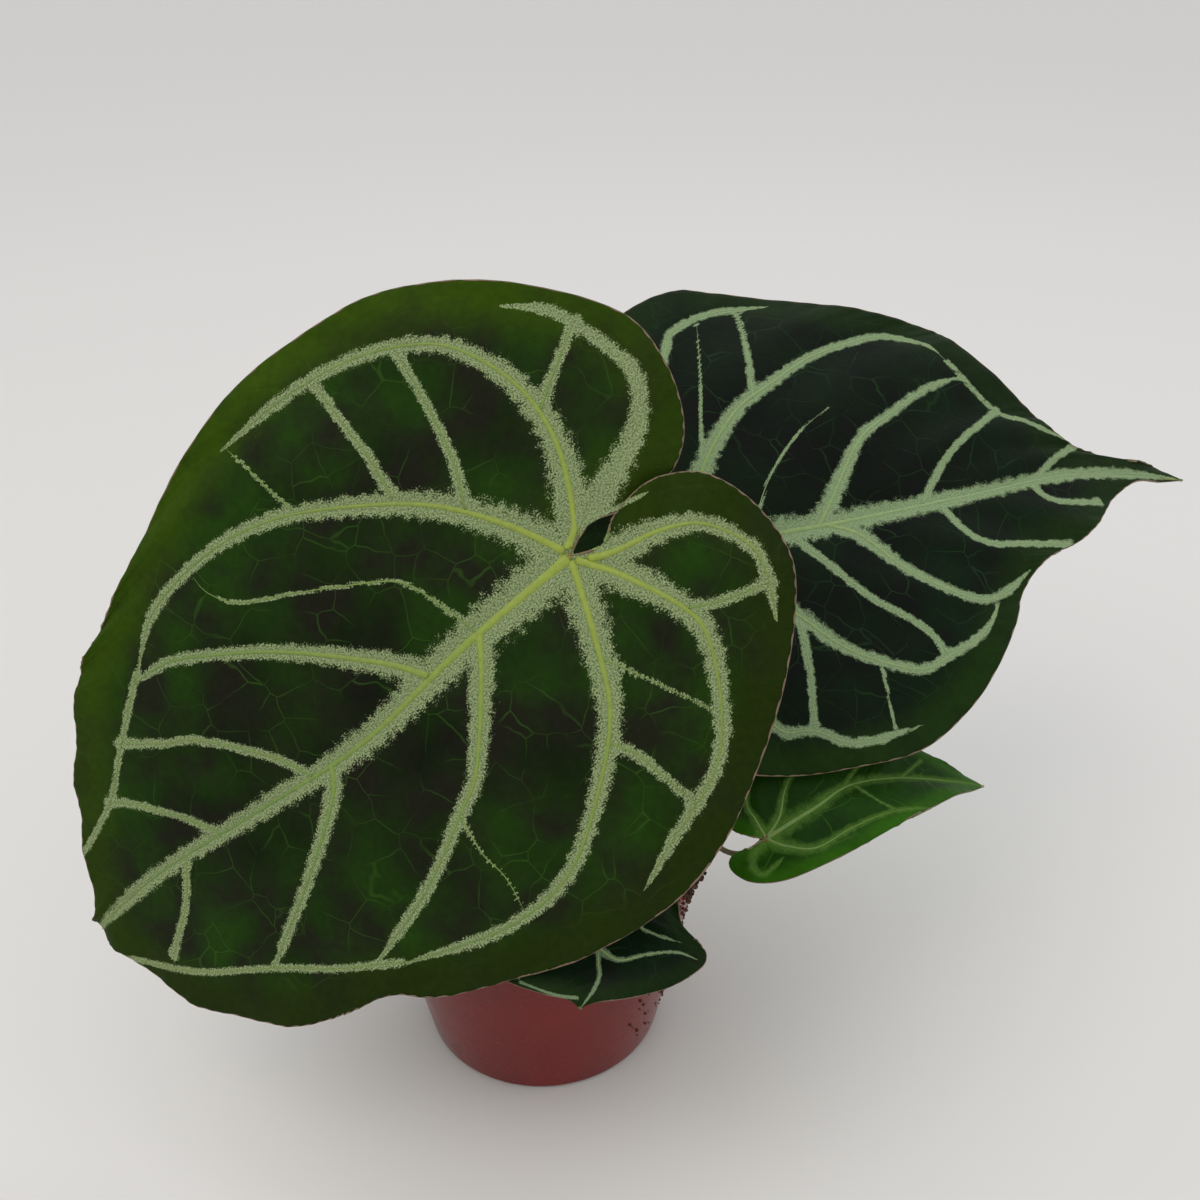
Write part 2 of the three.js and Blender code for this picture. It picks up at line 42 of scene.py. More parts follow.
# Nursery pot
# Injection-moulded polypropylene in a deep glossy red, tapered so that pots stack. A stiff collar with a
# rolled lip runs round the top, and six drain holes are moulded into the floor.
POT_SIDES = 144
POT_HEIGHT = 0.096
POT_TOP_RADIUS = 0.06
POT_BASE_RADIUS = 0.042
POT_WALL = 0.0016
POT_FLOOR = 0.0022
COLLAR_LOW = 0.081
COLLAR_RADIUS = 0.0594
NECK_RADIUS = 0.056
LIP_RADIUS = 0.0013
BASE_ROUNDING = 0.002
DRAIN_HOLES = 6
DRAIN_RADIUS = 0.004
DRAIN_CIRCLE = 0.027


def linear(code, alpha=1.0):
    """An sRGB hex colour as Blender's linear RGBA."""
    parts = [int(code[i : i + 2], 16) / 255 for i in (1, 3, 5)]
    return [c / 12.92 if c <= 0.04045 else ((c + 0.055) / 1.055) ** 2.4 for c in parts] + [alpha]


def node(tree, kind, inputs, **settings):
    """Adds a shader node. An input takes a value, or another node's output to link."""
    made = tree.nodes.new("ShaderNode" + kind)
    for key, value in settings.items():
        setattr(made, key, value)
    for socket, value in inputs.items():
        if isinstance(value, bpy.types.NodeSocket):
            tree.links.new(value, made.inputs[socket])
        else:
            made.inputs[socket].default_value = value
    return made


def new_material(name, **sockets):
    """A material with one principled shader, whose fixed values are given by socket name."""
    material = bpy.data.materials.new(name)
    material.use_nodes = True
    shader = material.node_tree.nodes["Principled BSDF"]
    for key, value in sockets.items():
        shader.inputs[key.replace("_", " ")].default_value = value
    return material, material.node_tree, shader


def wall_radius(z):
    return POT_BASE_RADIUS + (NECK_RADIUS - POT_BASE_RADIUS) * z / COLLAR_LOW


def finish_piece(obj, name, material, slot, *nodes):
    """Names a finished piece, gives it its material and ties it to the frame."""
    obj.name = name
    obj.data.name = name
    obj.data.materials.clear()
    obj.data.materials.append(material)
    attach(obj, "root")
    if nodes:
        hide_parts(*nodes)
    return obj


def moulded_pot():
    base = BASE_ROUNDING
    bpy.ops.mesh.primitive_cylinder_add(
        vertices=POT_SIDES, radius=POT_BASE_RADIUS - base, depth=0.0002, location=(0, 0, 0.0001)
    )
    pot = bpy.context.object
    profile = []
    for i in range(1, 5):
        a = i / 4 * math.pi / 2
        r = POT_BASE_RADIUS - base + base * math.sin(a)
        profile.append((r, 0.0002 + (base - 0.0002) * (1 - math.cos(a))))
    profile += [(wall_radius(z), z) for z in (0.02, 0.04, 0.06, COLLAR_LOW - 0.0006)]
    step = 0.0006
    for i in range(1, 4):
        a = i / 3 * math.pi / 2
        profile.append((NECK_RADIUS + step * (1 - math.cos(a)), COLLAR_LOW - step + step * math.sin(a)))
    for i in range(4):
        a = i / 3 * math.pi / 2
        profile.append((COLLAR_RADIUS - step + step * math.sin(a), COLLAR_LOW + step * (1 - math.cos(a))))
    lip = POT_TOP_RADIUS - LIP_RADIUS
    profile.append((COLLAR_RADIUS, POT_HEIGHT - 2.6 * LIP_RADIUS))
    for i in range(8):
        a = (i / 7 * 1.5 - 0.5) * math.pi / 2
        profile.append((lip + LIP_RADIUS * math.cos(a), POT_HEIGHT - LIP_RADIUS + LIP_RADIUS * math.sin(a)))
    inner = COLLAR_RADIUS - POT_WALL
    profile += [(inner + 0.0003, POT_HEIGHT), (inner, POT_HEIGHT - 0.0004), (inner, COLLAR_LOW + 0.0016)]
    profile += [(wall_radius(z) - POT_WALL, z) for z in (COLLAR_LOW - 0.0008, 0.05, 0.02, POT_FLOOR + 0.002)]
    profile.append((wall_radius(POT_FLOOR) - POT_WALL - 0.0016, POT_FLOOR))
    bpy.ops.object.mode_set(mode="EDIT")
    bpy.ops.mesh.select_all(action="DESELECT")
    bpy.ops.object.mode_set(mode="OBJECT")
    for face in pot.data.polygons:
        face.select = face.normal.z > 0.9
    bpy.ops.object.mode_set(mode="EDIT")
    bpy.ops.mesh.select_mode(type="FACE")
    last_r, last_z = POT_BASE_RADIUS - base, 0.0002
    for r, z in profile:
        bpy.ops.mesh.extrude_region_move(TRANSFORM_OT_translate={"value": (0, 0, z - last_z)})
        bpy.ops.transform.resize(value=(r / last_r, r / last_r, 1), center_override=(0, 0, z))
        last_r, last_z = r, z
    bpy.ops.object.mode_set(mode="OBJECT")
    for i in range(DRAIN_HOLES):
        a = (i + 0.5) / DRAIN_HOLES * 2 * math.pi
        place = (DRAIN_CIRCLE * math.cos(a), DRAIN_CIRCLE * math.sin(a), 0.001)
        bpy.ops.mesh.primitive_cylinder_add(vertices=32, radius=DRAIN_RADIUS, depth=0.01, location=place)
        drill = bpy.context.object
        cut = pot.modifiers.new("drain", "BOOLEAN")
        cut.object = drill
        bpy.context.view_layer.objects.active = pot
        bpy.ops.object.modifier_apply(modifier=cut.name)
        bpy.data.objects.remove(drill)
    bpy.ops.object.select_all(action="DESELECT")
    pot.select_set(True)
    bpy.context.view_layer.objects.active = pot
    bpy.ops.object.transform_apply(location=True, rotation=True, scale=True)
    bpy.ops.object.shade_smooth_by_angle(angle=math.radians(32))
    return pot


def moulded_red():
    # Polypropylene from a polished mould: a sharp clear reflection that dust and fine scuffs break up
    material, tree, shader = new_material(
        "moulded_red_polypropylene", IOR=1.49, Specular_IOR_Level=0.25, Coat_Weight=0.12
    )
    shader.inputs["Coat Roughness"].default_value = 0.06
    place = node(tree, "TexCoord", {}).outputs["Object"]
    cloud = node(tree, "TexNoise", {"Vector": place, "Scale": 38.0, "Detail": 3.0}).outputs[0]
    colour = node(
        tree, "Mix", {0: cloud, 6: linear("#560706"), 7: linear("#740e0b")}, data_type="RGBA"
    ).outputs[2]
    # Dust and dried splashes gather in specks of about a millimetre
    specks = node(tree, "TexNoise", {"Vector": place, "Scale": 900.0, "Detail": 2.0}).outputs[0]
    dusty = node(tree, "MapRange", {"Value": specks, "From Min": 0.66, "From Max": 0.8}).outputs[0]
    dusty = node(tree, "Math", {0: dusty, 1: 0.35}, operation="MULTIPLY").outputs[0]
    colour = node(tree, "Mix", {0: dusty, 6: colour, 7: linear("#8a6a58")}, data_type="RGBA").outputs[2]
    tree.links.new(colour, shader.inputs["Base Color"])
    scuffs = node(tree, "TexNoise", {"Vector": place, "Scale": 120.0, "Detail": 5.0}).outputs[0]
    rough = node(tree, "MapRange", {"Value": scuffs, "To Min": 0.16, "To Max": 0.36}).outputs[0]
    tree.links.new(rough, shader.inputs["Roughness"])
    bump = node(tree, "Bump", {"Height": cloud, "Strength": 0.12, "Distance": 0.0006})
    tree.links.new(bump.outputs[0], shader.inputs["Normal"])
    return material


pot = finish_piece(moulded_pot(), "nursery_pot", moulded_red(), "pot_plastic", "pot")

# Potting mix
# Bark fines, coir and peat, a little moist, with larger bark chips, white perlite and loose fibres on top.
# It is poured in round the roots and settles just under the pot's lip.
MIX_TOP = 86.5
MIX_RELIEF = 1.1
MIX_NECK = 53.75
CRUMBS = 2600
CHIPS = 120
PERLITE = 150
FIBRES = 240


def solid(name, points, faces, material, slot, *nodes, values=None):
    """A piece from points in millimetres and faces, with any values that its material reads."""
    mesh = bpy.data.meshes.new(name)
    mesh.from_pydata((np.asarray(points) * MM).tolist(), [], faces)
    mesh.shade_smooth()
    for key, numbers in (values or {}).items():
        mesh.attributes.new(key, "FLOAT", "POINT").data.foreach_set("value", np.asarray(numbers, np.float32))
    obj = bpy.data.objects.new(name, mesh)
    bpy.context.collection.objects.link(obj)
    return finish_piece(obj, name, material, slot, *nodes)


def ramp(x, low, high):
    t = np.clip((x - low) / (high - low), 0, 1)
    return t * t * (3 - 2 * t)


def mix_height(x, y):
    r = np.hypot(x, y)
    calm = ramp(r, 8, 18) * (1 - ramp(r, 48, 56))
    waves = np.sin(x * 0.31 + 1) * np.cos(y * 0.27) + 0.6 * np.sin(x * 0.71 - y * 0.53)
    return MIX_TOP + MIX_RELIEF * calm * waves


def mix_bed(material):
    sectors, rings = 120, 44
    turn = np.arange(sectors) / sectors * 2 * math.pi
    points = [(0, 0, 2.5)]
    for r, z in ((38.0, 2.5), (40.4, 5.2), (MIX_NECK - 0.2, 79.0), (MIX_NECK, MIX_TOP - 1)):
        points += [(r * math.cos(a), r * math.sin(a), z) for a in turn]
    for i in range(rings, 0, -1):
        r = i / rings * (MIX_NECK - 0.4)
        for a in turn:
            x, y = r * math.cos(a), r * math.sin(a)
            lumps = noise.fractal(Vector((x, y, 0)) / 3.4, 0.7, 2.2, 4)
            points.append((x, y, mix_height(x, y) + 0.8 * lumps * (1 if i < rings else 0)))
    points.append((0, 0, float(mix_height(0.0, 0.0))))
    top = len(points) - 1
    faces = []
    for k in range(sectors):
        n = (k + 1) % sectors
        faces.append((0, 1 + n, 1 + k))
        for j in range(rings + 3):
            a, b = 1 + j * sectors, 1 + (j + 1) * sectors
            faces.append((a + k, a + n, b + n, b + k))
        faces.append((1 + (rings + 3) * sectors + k, 1 + (rings + 3) * sectors + n, top))
    return solid("mix_bed", points, faces, material, "bark_mix", "potting_mix")


def lump(detail, boxy, seed):
    """One rough grain of unit size, shaped from a ball. boxy under 1 squares it, as bark breaks."""
    bpy.ops.mesh.primitive_ico_sphere_add(subdivisions=detail, radius=1)
    ball = bpy.context.object
    points = np.array([v.co for v in ball.data.vertices])
    faces = [tuple(p.vertices) for p in ball.data.polygons]
    bpy.data.objects.remove(ball)
    points = np.sign(points) * np.abs(points) ** boxy
    rough = np.array([1 + 0.3 * noise.noise(Vector(p) * 1.6 + Vector((seed, 0, 0))) for p in points])
    return points * rough[:, None], faces


def turned(draw):
    """A random turn, as a 3 x 3 array."""
    a, b, c = draw.uniform(0, 2 * math.pi, 3)
    spin = Matrix.Rotation(a, 3, "Z") @ Matrix.Rotation(b, 3, "Y") @ Matrix.Rotation(c, 3, "X")
    return np.array(spin)


def strewn(name, grains, places, material, slot):
    """Copies of a few grains at their places, joined as one piece. A place is (point, size, turn, shade)."""
    points, faces, shade = [], [], []
    for i, (at, size, spin, tone) in enumerate(places):
        shape, sides = grains[i % len(grains)]
        points.append((shape * size) @ spin.T + at)
        faces += [tuple(len(shade) + k for k in side) for side in sides]
        shade += [tone] * len(shape)
    return solid(name, np.vstack(points), faces, material, slot, values={"shade": shade})


def on_mix(draw, inner, outer, lift):
    r = math.sqrt(draw.uniform(inner**2, outer**2))
    a = draw.uniform(0, 2 * math.pi)
    x, y = r * math.cos(a), r * math.sin(a)
    return np.array([x, y, float(mix_height(x, y)) + lift])


def grainy(name, dark, pale, rough, grain_mm):
    """A matt material of grains, each between two colours by its shade, with a fine bump."""
    material, tree, shader = new_material(name, Roughness=rough)
    place = node(tree, "TexCoord", {}).outputs["Object"]
    tone = node(tree, "Attribute", {}, attribute_name="shade").outputs["Fac"]
    spots = node(tree, "TexNoise", {"Vector": place, "Scale": 1000 / grain_mm, "Detail": 4.0}).outputs[0]
    amount = node(tree, "Math", {0: tone, 1: spots}, operation="ADD").outputs[0]
    amount = node(tree, "MapRange", {"Value": amount, "From Min": 0.25, "From Max": 1.35}).outputs[0]
    colour = node(tree, "Mix", {0: amount, 6: linear(dark), 7: linear(pale)}, data_type="RGBA").outputs[2]
    tree.links.new(colour, shader.inputs["Base Color"])
    bump = node(tree, "Bump", {"Height": spots, "Strength": 0.7, "Distance": 0.0004})
    tree.links.new(bump.outputs[0], shader.inputs["Normal"])
    return material


def sweep(path, ups, wide, high, sides, start=0):
    """A closed tube along a path. Its oval section is wide across and high along ups."""
    path, ups = np.asarray(path, float), np.asarray(ups, float)
    ahead = np.gradient(path, axis=0)
    ahead /= np.linalg.norm(ahead, axis=1)[:, None]
    across = np.cross(ups, ahead)
    across /= np.linalg.norm(across, axis=1)[:, None]
    ups = np.cross(ahead, across)
    turn = np.arange(sides) / sides * 2 * math.pi
    wide = np.broadcast_to(wide, len(path))[:, None, None]
    high = np.broadcast_to(high, len(path))[:, None, None]
    rings = path[:, None] + wide * np.cos(turn)[:, None] * across[:, None]
    rings = rings + high * np.sin(turn)[:, None] * ups[:, None]
    points = np.vstack([rings.reshape(-1, 3), path[:1], path[-1:]])
    count = len(path)
    first, last = start + count * sides, start + count * sides + 1
    faces = []
    for k in range(sides):
        n = (k + 1) % sides
        for i in range(count - 1):
            a, b = start + i * sides, start + (i + 1) * sides
            faces.append((a + k, b + k, b + n, a + n))
        end = start + (count - 1) * sides
        faces.append((first, start + k, start + n))
        faces.append((last, end + n, end + k))
    return points, faces


def fibre(draw, at, start):
    """A curved strand of coir that lies on the mix."""
    long = draw.uniform(4, 16)
    heading = draw.uniform(0, 2 * math.pi)
    bow = draw.uniform(-1.2, 1.2)
    t = np.linspace(0, 1, 8)
    angle = heading + bow * t
    step = long / 8
    x = at[0] + np.cumsum(np.cos(angle)) * step
    y = at[1] + np.cumsum(np.sin(angle)) * step
    keep = np.minimum(1, 52.0 / np.maximum(np.hypot(x, y), 1))
    x, y = x * keep, y * keep
    z = mix_height(x, y) + 0.9 + draw.uniform(0.2, 2.2) * np.sin(t * math.pi) * draw.uniform(0, 1)
    path = np.stack([x, y, z], axis=1)
    ups = np.tile([0.0, 0.0, 1.0], (8, 1))
    return sweep(path, ups, draw.uniform(0.12, 0.3), draw.uniform(0.1, 0.2), 5, start)


bark_brown = grainy("damp_bark_and_peat", "#150c07", "#4d2f1c", 0.95, 1.2)
mix_bed(grainy("settled_peat_bed", "#120a06", "#3a2415", 0.97, 1.0))
draw = np.random.default_rng(5)
crumb_shapes = [lump(1, 0.9, i * 7.0) for i in range(6)]
places = []
for _ in range(CRUMBS):
    size = draw.uniform(0.45, 1.7) * draw.uniform(0.6, 1.0, 3)
    places.append((on_mix(draw, 7, 53.0, 0.35), size, turned(draw), draw.uniform(0, 0.7)))
strewn("mix_crumbs", crumb_shapes, places, bark_brown, "bark_mix")
chip_shapes = [lump(2, 0.62, 40 + i * 9.0) for i in range(5)]
places = []
for _ in range(CHIPS):
    size = np.array([draw.uniform(2.2, 5.2), draw.uniform(1.4, 3.0), draw.uniform(0.7, 1.5)])
    flat = Matrix.Rotation(draw.uniform(0, 6.28), 3, "Z") @ Matrix.Rotation(draw.normal(0, 0.3), 3, "Y")
    places.append((on_mix(draw, 12, 49.5, 0.7), size, np.array(flat), draw.uniform(0.2, 1.0)))
chip_brown = grainy("pine_bark_chips", "#20120a", "#6e4526", 0.85, 2.0)
strewn("bark_chips", chip_shapes, places, chip_brown, "bark_mix")
places = []
for _ in range(PERLITE):
    size = draw.uniform(0.5, 1.3) * draw.uniform(0.7, 1.0, 3)
    places.append((on_mix(draw, 10, 52, 0.9), size, turned(draw), draw.uniform(0.3, 1.0)))
perlite_white = grainy("expanded_perlite", "#9d968a", "#e4dfd4", 0.9, 0.6)
strewn("perlite_grains", crumb_shapes, places, perlite_white, "bark_mix")
points, faces = [], []
for _ in range(FIBRES):
    more = fibre(draw, on_mix(draw, 10, 48, 0), sum(len(p) for p in points))
    points.append(more[0])
    faces += more[1]
shade = np.repeat(draw.uniform(0, 1, FIBRES), len(points[0]))
strand_colour = grainy("coir_fibres", "#3a2413", "#8a6238", 0.8, 1.0)
solid("coir_strands", np.vstack(points), faces, strand_colour, "bark_mix", values={"shade": shade})

# Crown
# The plant's short upright stem. Dry papery sheaths, one left by each leaf, wrap it where the stalks start,
# and the stubs of young air roots push out under them.
CROWN_RADIUS = 6.0
CROWN_HEAD = 8.0
CROWN_HEAD_Z = 91.5
SHEATHS = 9
ROOT_STUBS = 7


def crown_stem():
    z = np.linspace(62.6, CROWN_HEAD_Z + CROWN_HEAD - 0.4, 46)
    t = np.clip((z - CROWN_HEAD_Z) / CROWN_HEAD, -0.5, 0.98)
    radius = np.where(z < CROWN_HEAD_Z - 3, CROWN_RADIUS, CROWN_HEAD * np.sqrt(1 - t**2))
    radius = np.minimum(radius, CROWN_RADIUS + ramp(z, 85, 90) * 2) - 0.2
    radius = radius + 0.25 * np.sin(z * 2.1)
    path = np.stack([0.15 * np.sin(z / 5), 0 * z, z], axis=1)
    return sweep(path, np.tile([0.0, 1.0, 0.0], (len(z), 1)), radius, radius, 32)


def sheath(turn, lean, tall, wide, start):
    """A dry sheath: a thin curved blade of two faces, pressed round the crown and frayed at its tip."""
    rows, columns = 14, 9
    points = []
    for side in (0.12, -0.12):
        for i in range(rows + 1):
            f = i / rows
            span = wide * (1 - f**2.2) + 0.05
            for k in range(columns):
                s = (k / (columns - 1) - 0.5) * 2
                a = turn + s * span
                fray = 0.5 * noise.noise(Vector((turn * 5, s * 3, f * 4)))
                r = 8.1 + lean * f**1.6 * 6 + 0.5 * s * s + fray * f + side
                points.append((r * math.cos(a), r * math.sin(a), 83.5 + tall * f - 1.2 * abs(s) * f))
    faces = []
    back = (rows + 1) * columns
    for i in range(rows):
        for k in range(columns - 1):
            a = i * columns + k
            faces.append((a, a + 1, a + columns + 1, a + columns))
            faces.append(tuple(back + n for n in (a + columns, a + columns + 1, a + 1, a)))
    rim = [k for k in range(columns)] + [i * columns + columns - 1 for i in range(1, rows + 1)]
    rim += [rows * columns + k for k in range(columns - 2, -1, -1)]
    rim += [i * columns for i in range(rows - 1, 0, -1)]
    for a, b in zip(rim, rim[1:] + rim[:1]):
        faces.append((b, a, a + back, b + back))
    return points, [tuple(start + n for n in face) for face in faces]


crown_colour = grainy("corky_crown", "#3a2c16", "#7c6a3a", 0.8, 2.5)
points, faces = crown_stem()
shade = 0.5 + 0.5 * np.sin(points[:, 2] * 1.3)
solid("crown_stem", points, faces, crown_colour, "crown_tissue", "crown", values={"shade": shade})
draw = np.random.default_rng(8)
points, faces, shade = [], [], []
for i in range(SHEATHS):
    turn = i * 2.4 + draw.uniform(-0.3, 0.3)
    more = sheath(turn, draw.uniform(0.05, 0.5), draw.uniform(11, 19), draw.uniform(0.5, 0.8), len(points))
    points += more[0]
    faces += more[1]
    shade += [draw.uniform(0, 1)] * len(more[0])
sheath_colour = grainy("dry_leaf_sheaths", "#4a3017", "#a9865a", 0.85, 1.6)
solid("dry_sheaths", points, faces, sheath_colour, "crown_tissue", values={"shade": shade})
points, faces = [], []
for i in range(ROOT_STUBS):
    a = i * 2.4 + 1.1
    t = np.linspace(0, 1, 12)
    r = 5.5 + 6.5 * t
    path = np.stack([r * math.cos(a), r * math.sin(a), 90.5 + 1.5 * t - 4.5 * t**2], axis=1)
    radius = 1.25 * np.sqrt(np.clip(1.02 - t**4, 0, 1))
    more = sweep(path, np.tile([0.0, 0.0, 1.0], (12, 1)), radius, radius, 12, sum(len(p) for p in points))
    points.append(more[0])
    faces += more[1]
points = np.vstack(points)
root_colour = grainy("young_air_roots", "#6f7a3c", "#b9a878", 0.6, 1.5)
solid("air_roots", points, faces, root_colour, "crown_tissue", values={"shade": 0.5 + 0 * points[:, 0]})

# Leaf blades
# Each blade is a heart of thin leathery tissue, creased along its midrib and quilted between its veins.
# Tiny domed cells give the upper face its velvet, and air under the skin frosts the tissue along the veins.
BLADE_THICKNESS = 0.5
QUILT = 1.1
# Rows of faces between two rows of the margin's points
STEPS = 15
# The dressed blade's size against the solid's, so that its edge stays inside
INSET = 0.993
# A vein's cord ends this far inside the edge
VEIN_STOP = 1.2
# Half-width of the frosted band and radius of the cord in its middle, each at the vein's start and end
VEIN_SIZES = {
    "midrib": (9.0, 3.0, 2.0, 0.3),
    "main": (7.2, 2.1, 1.3, 0.22),
    "branch": (2.9, 1.7, 0.42, 0.18),
    "outer": (2.3, 1.4, 0.24, 0.14),
    "thin": (1.3, 0.8, 0.34, 0.16),
}
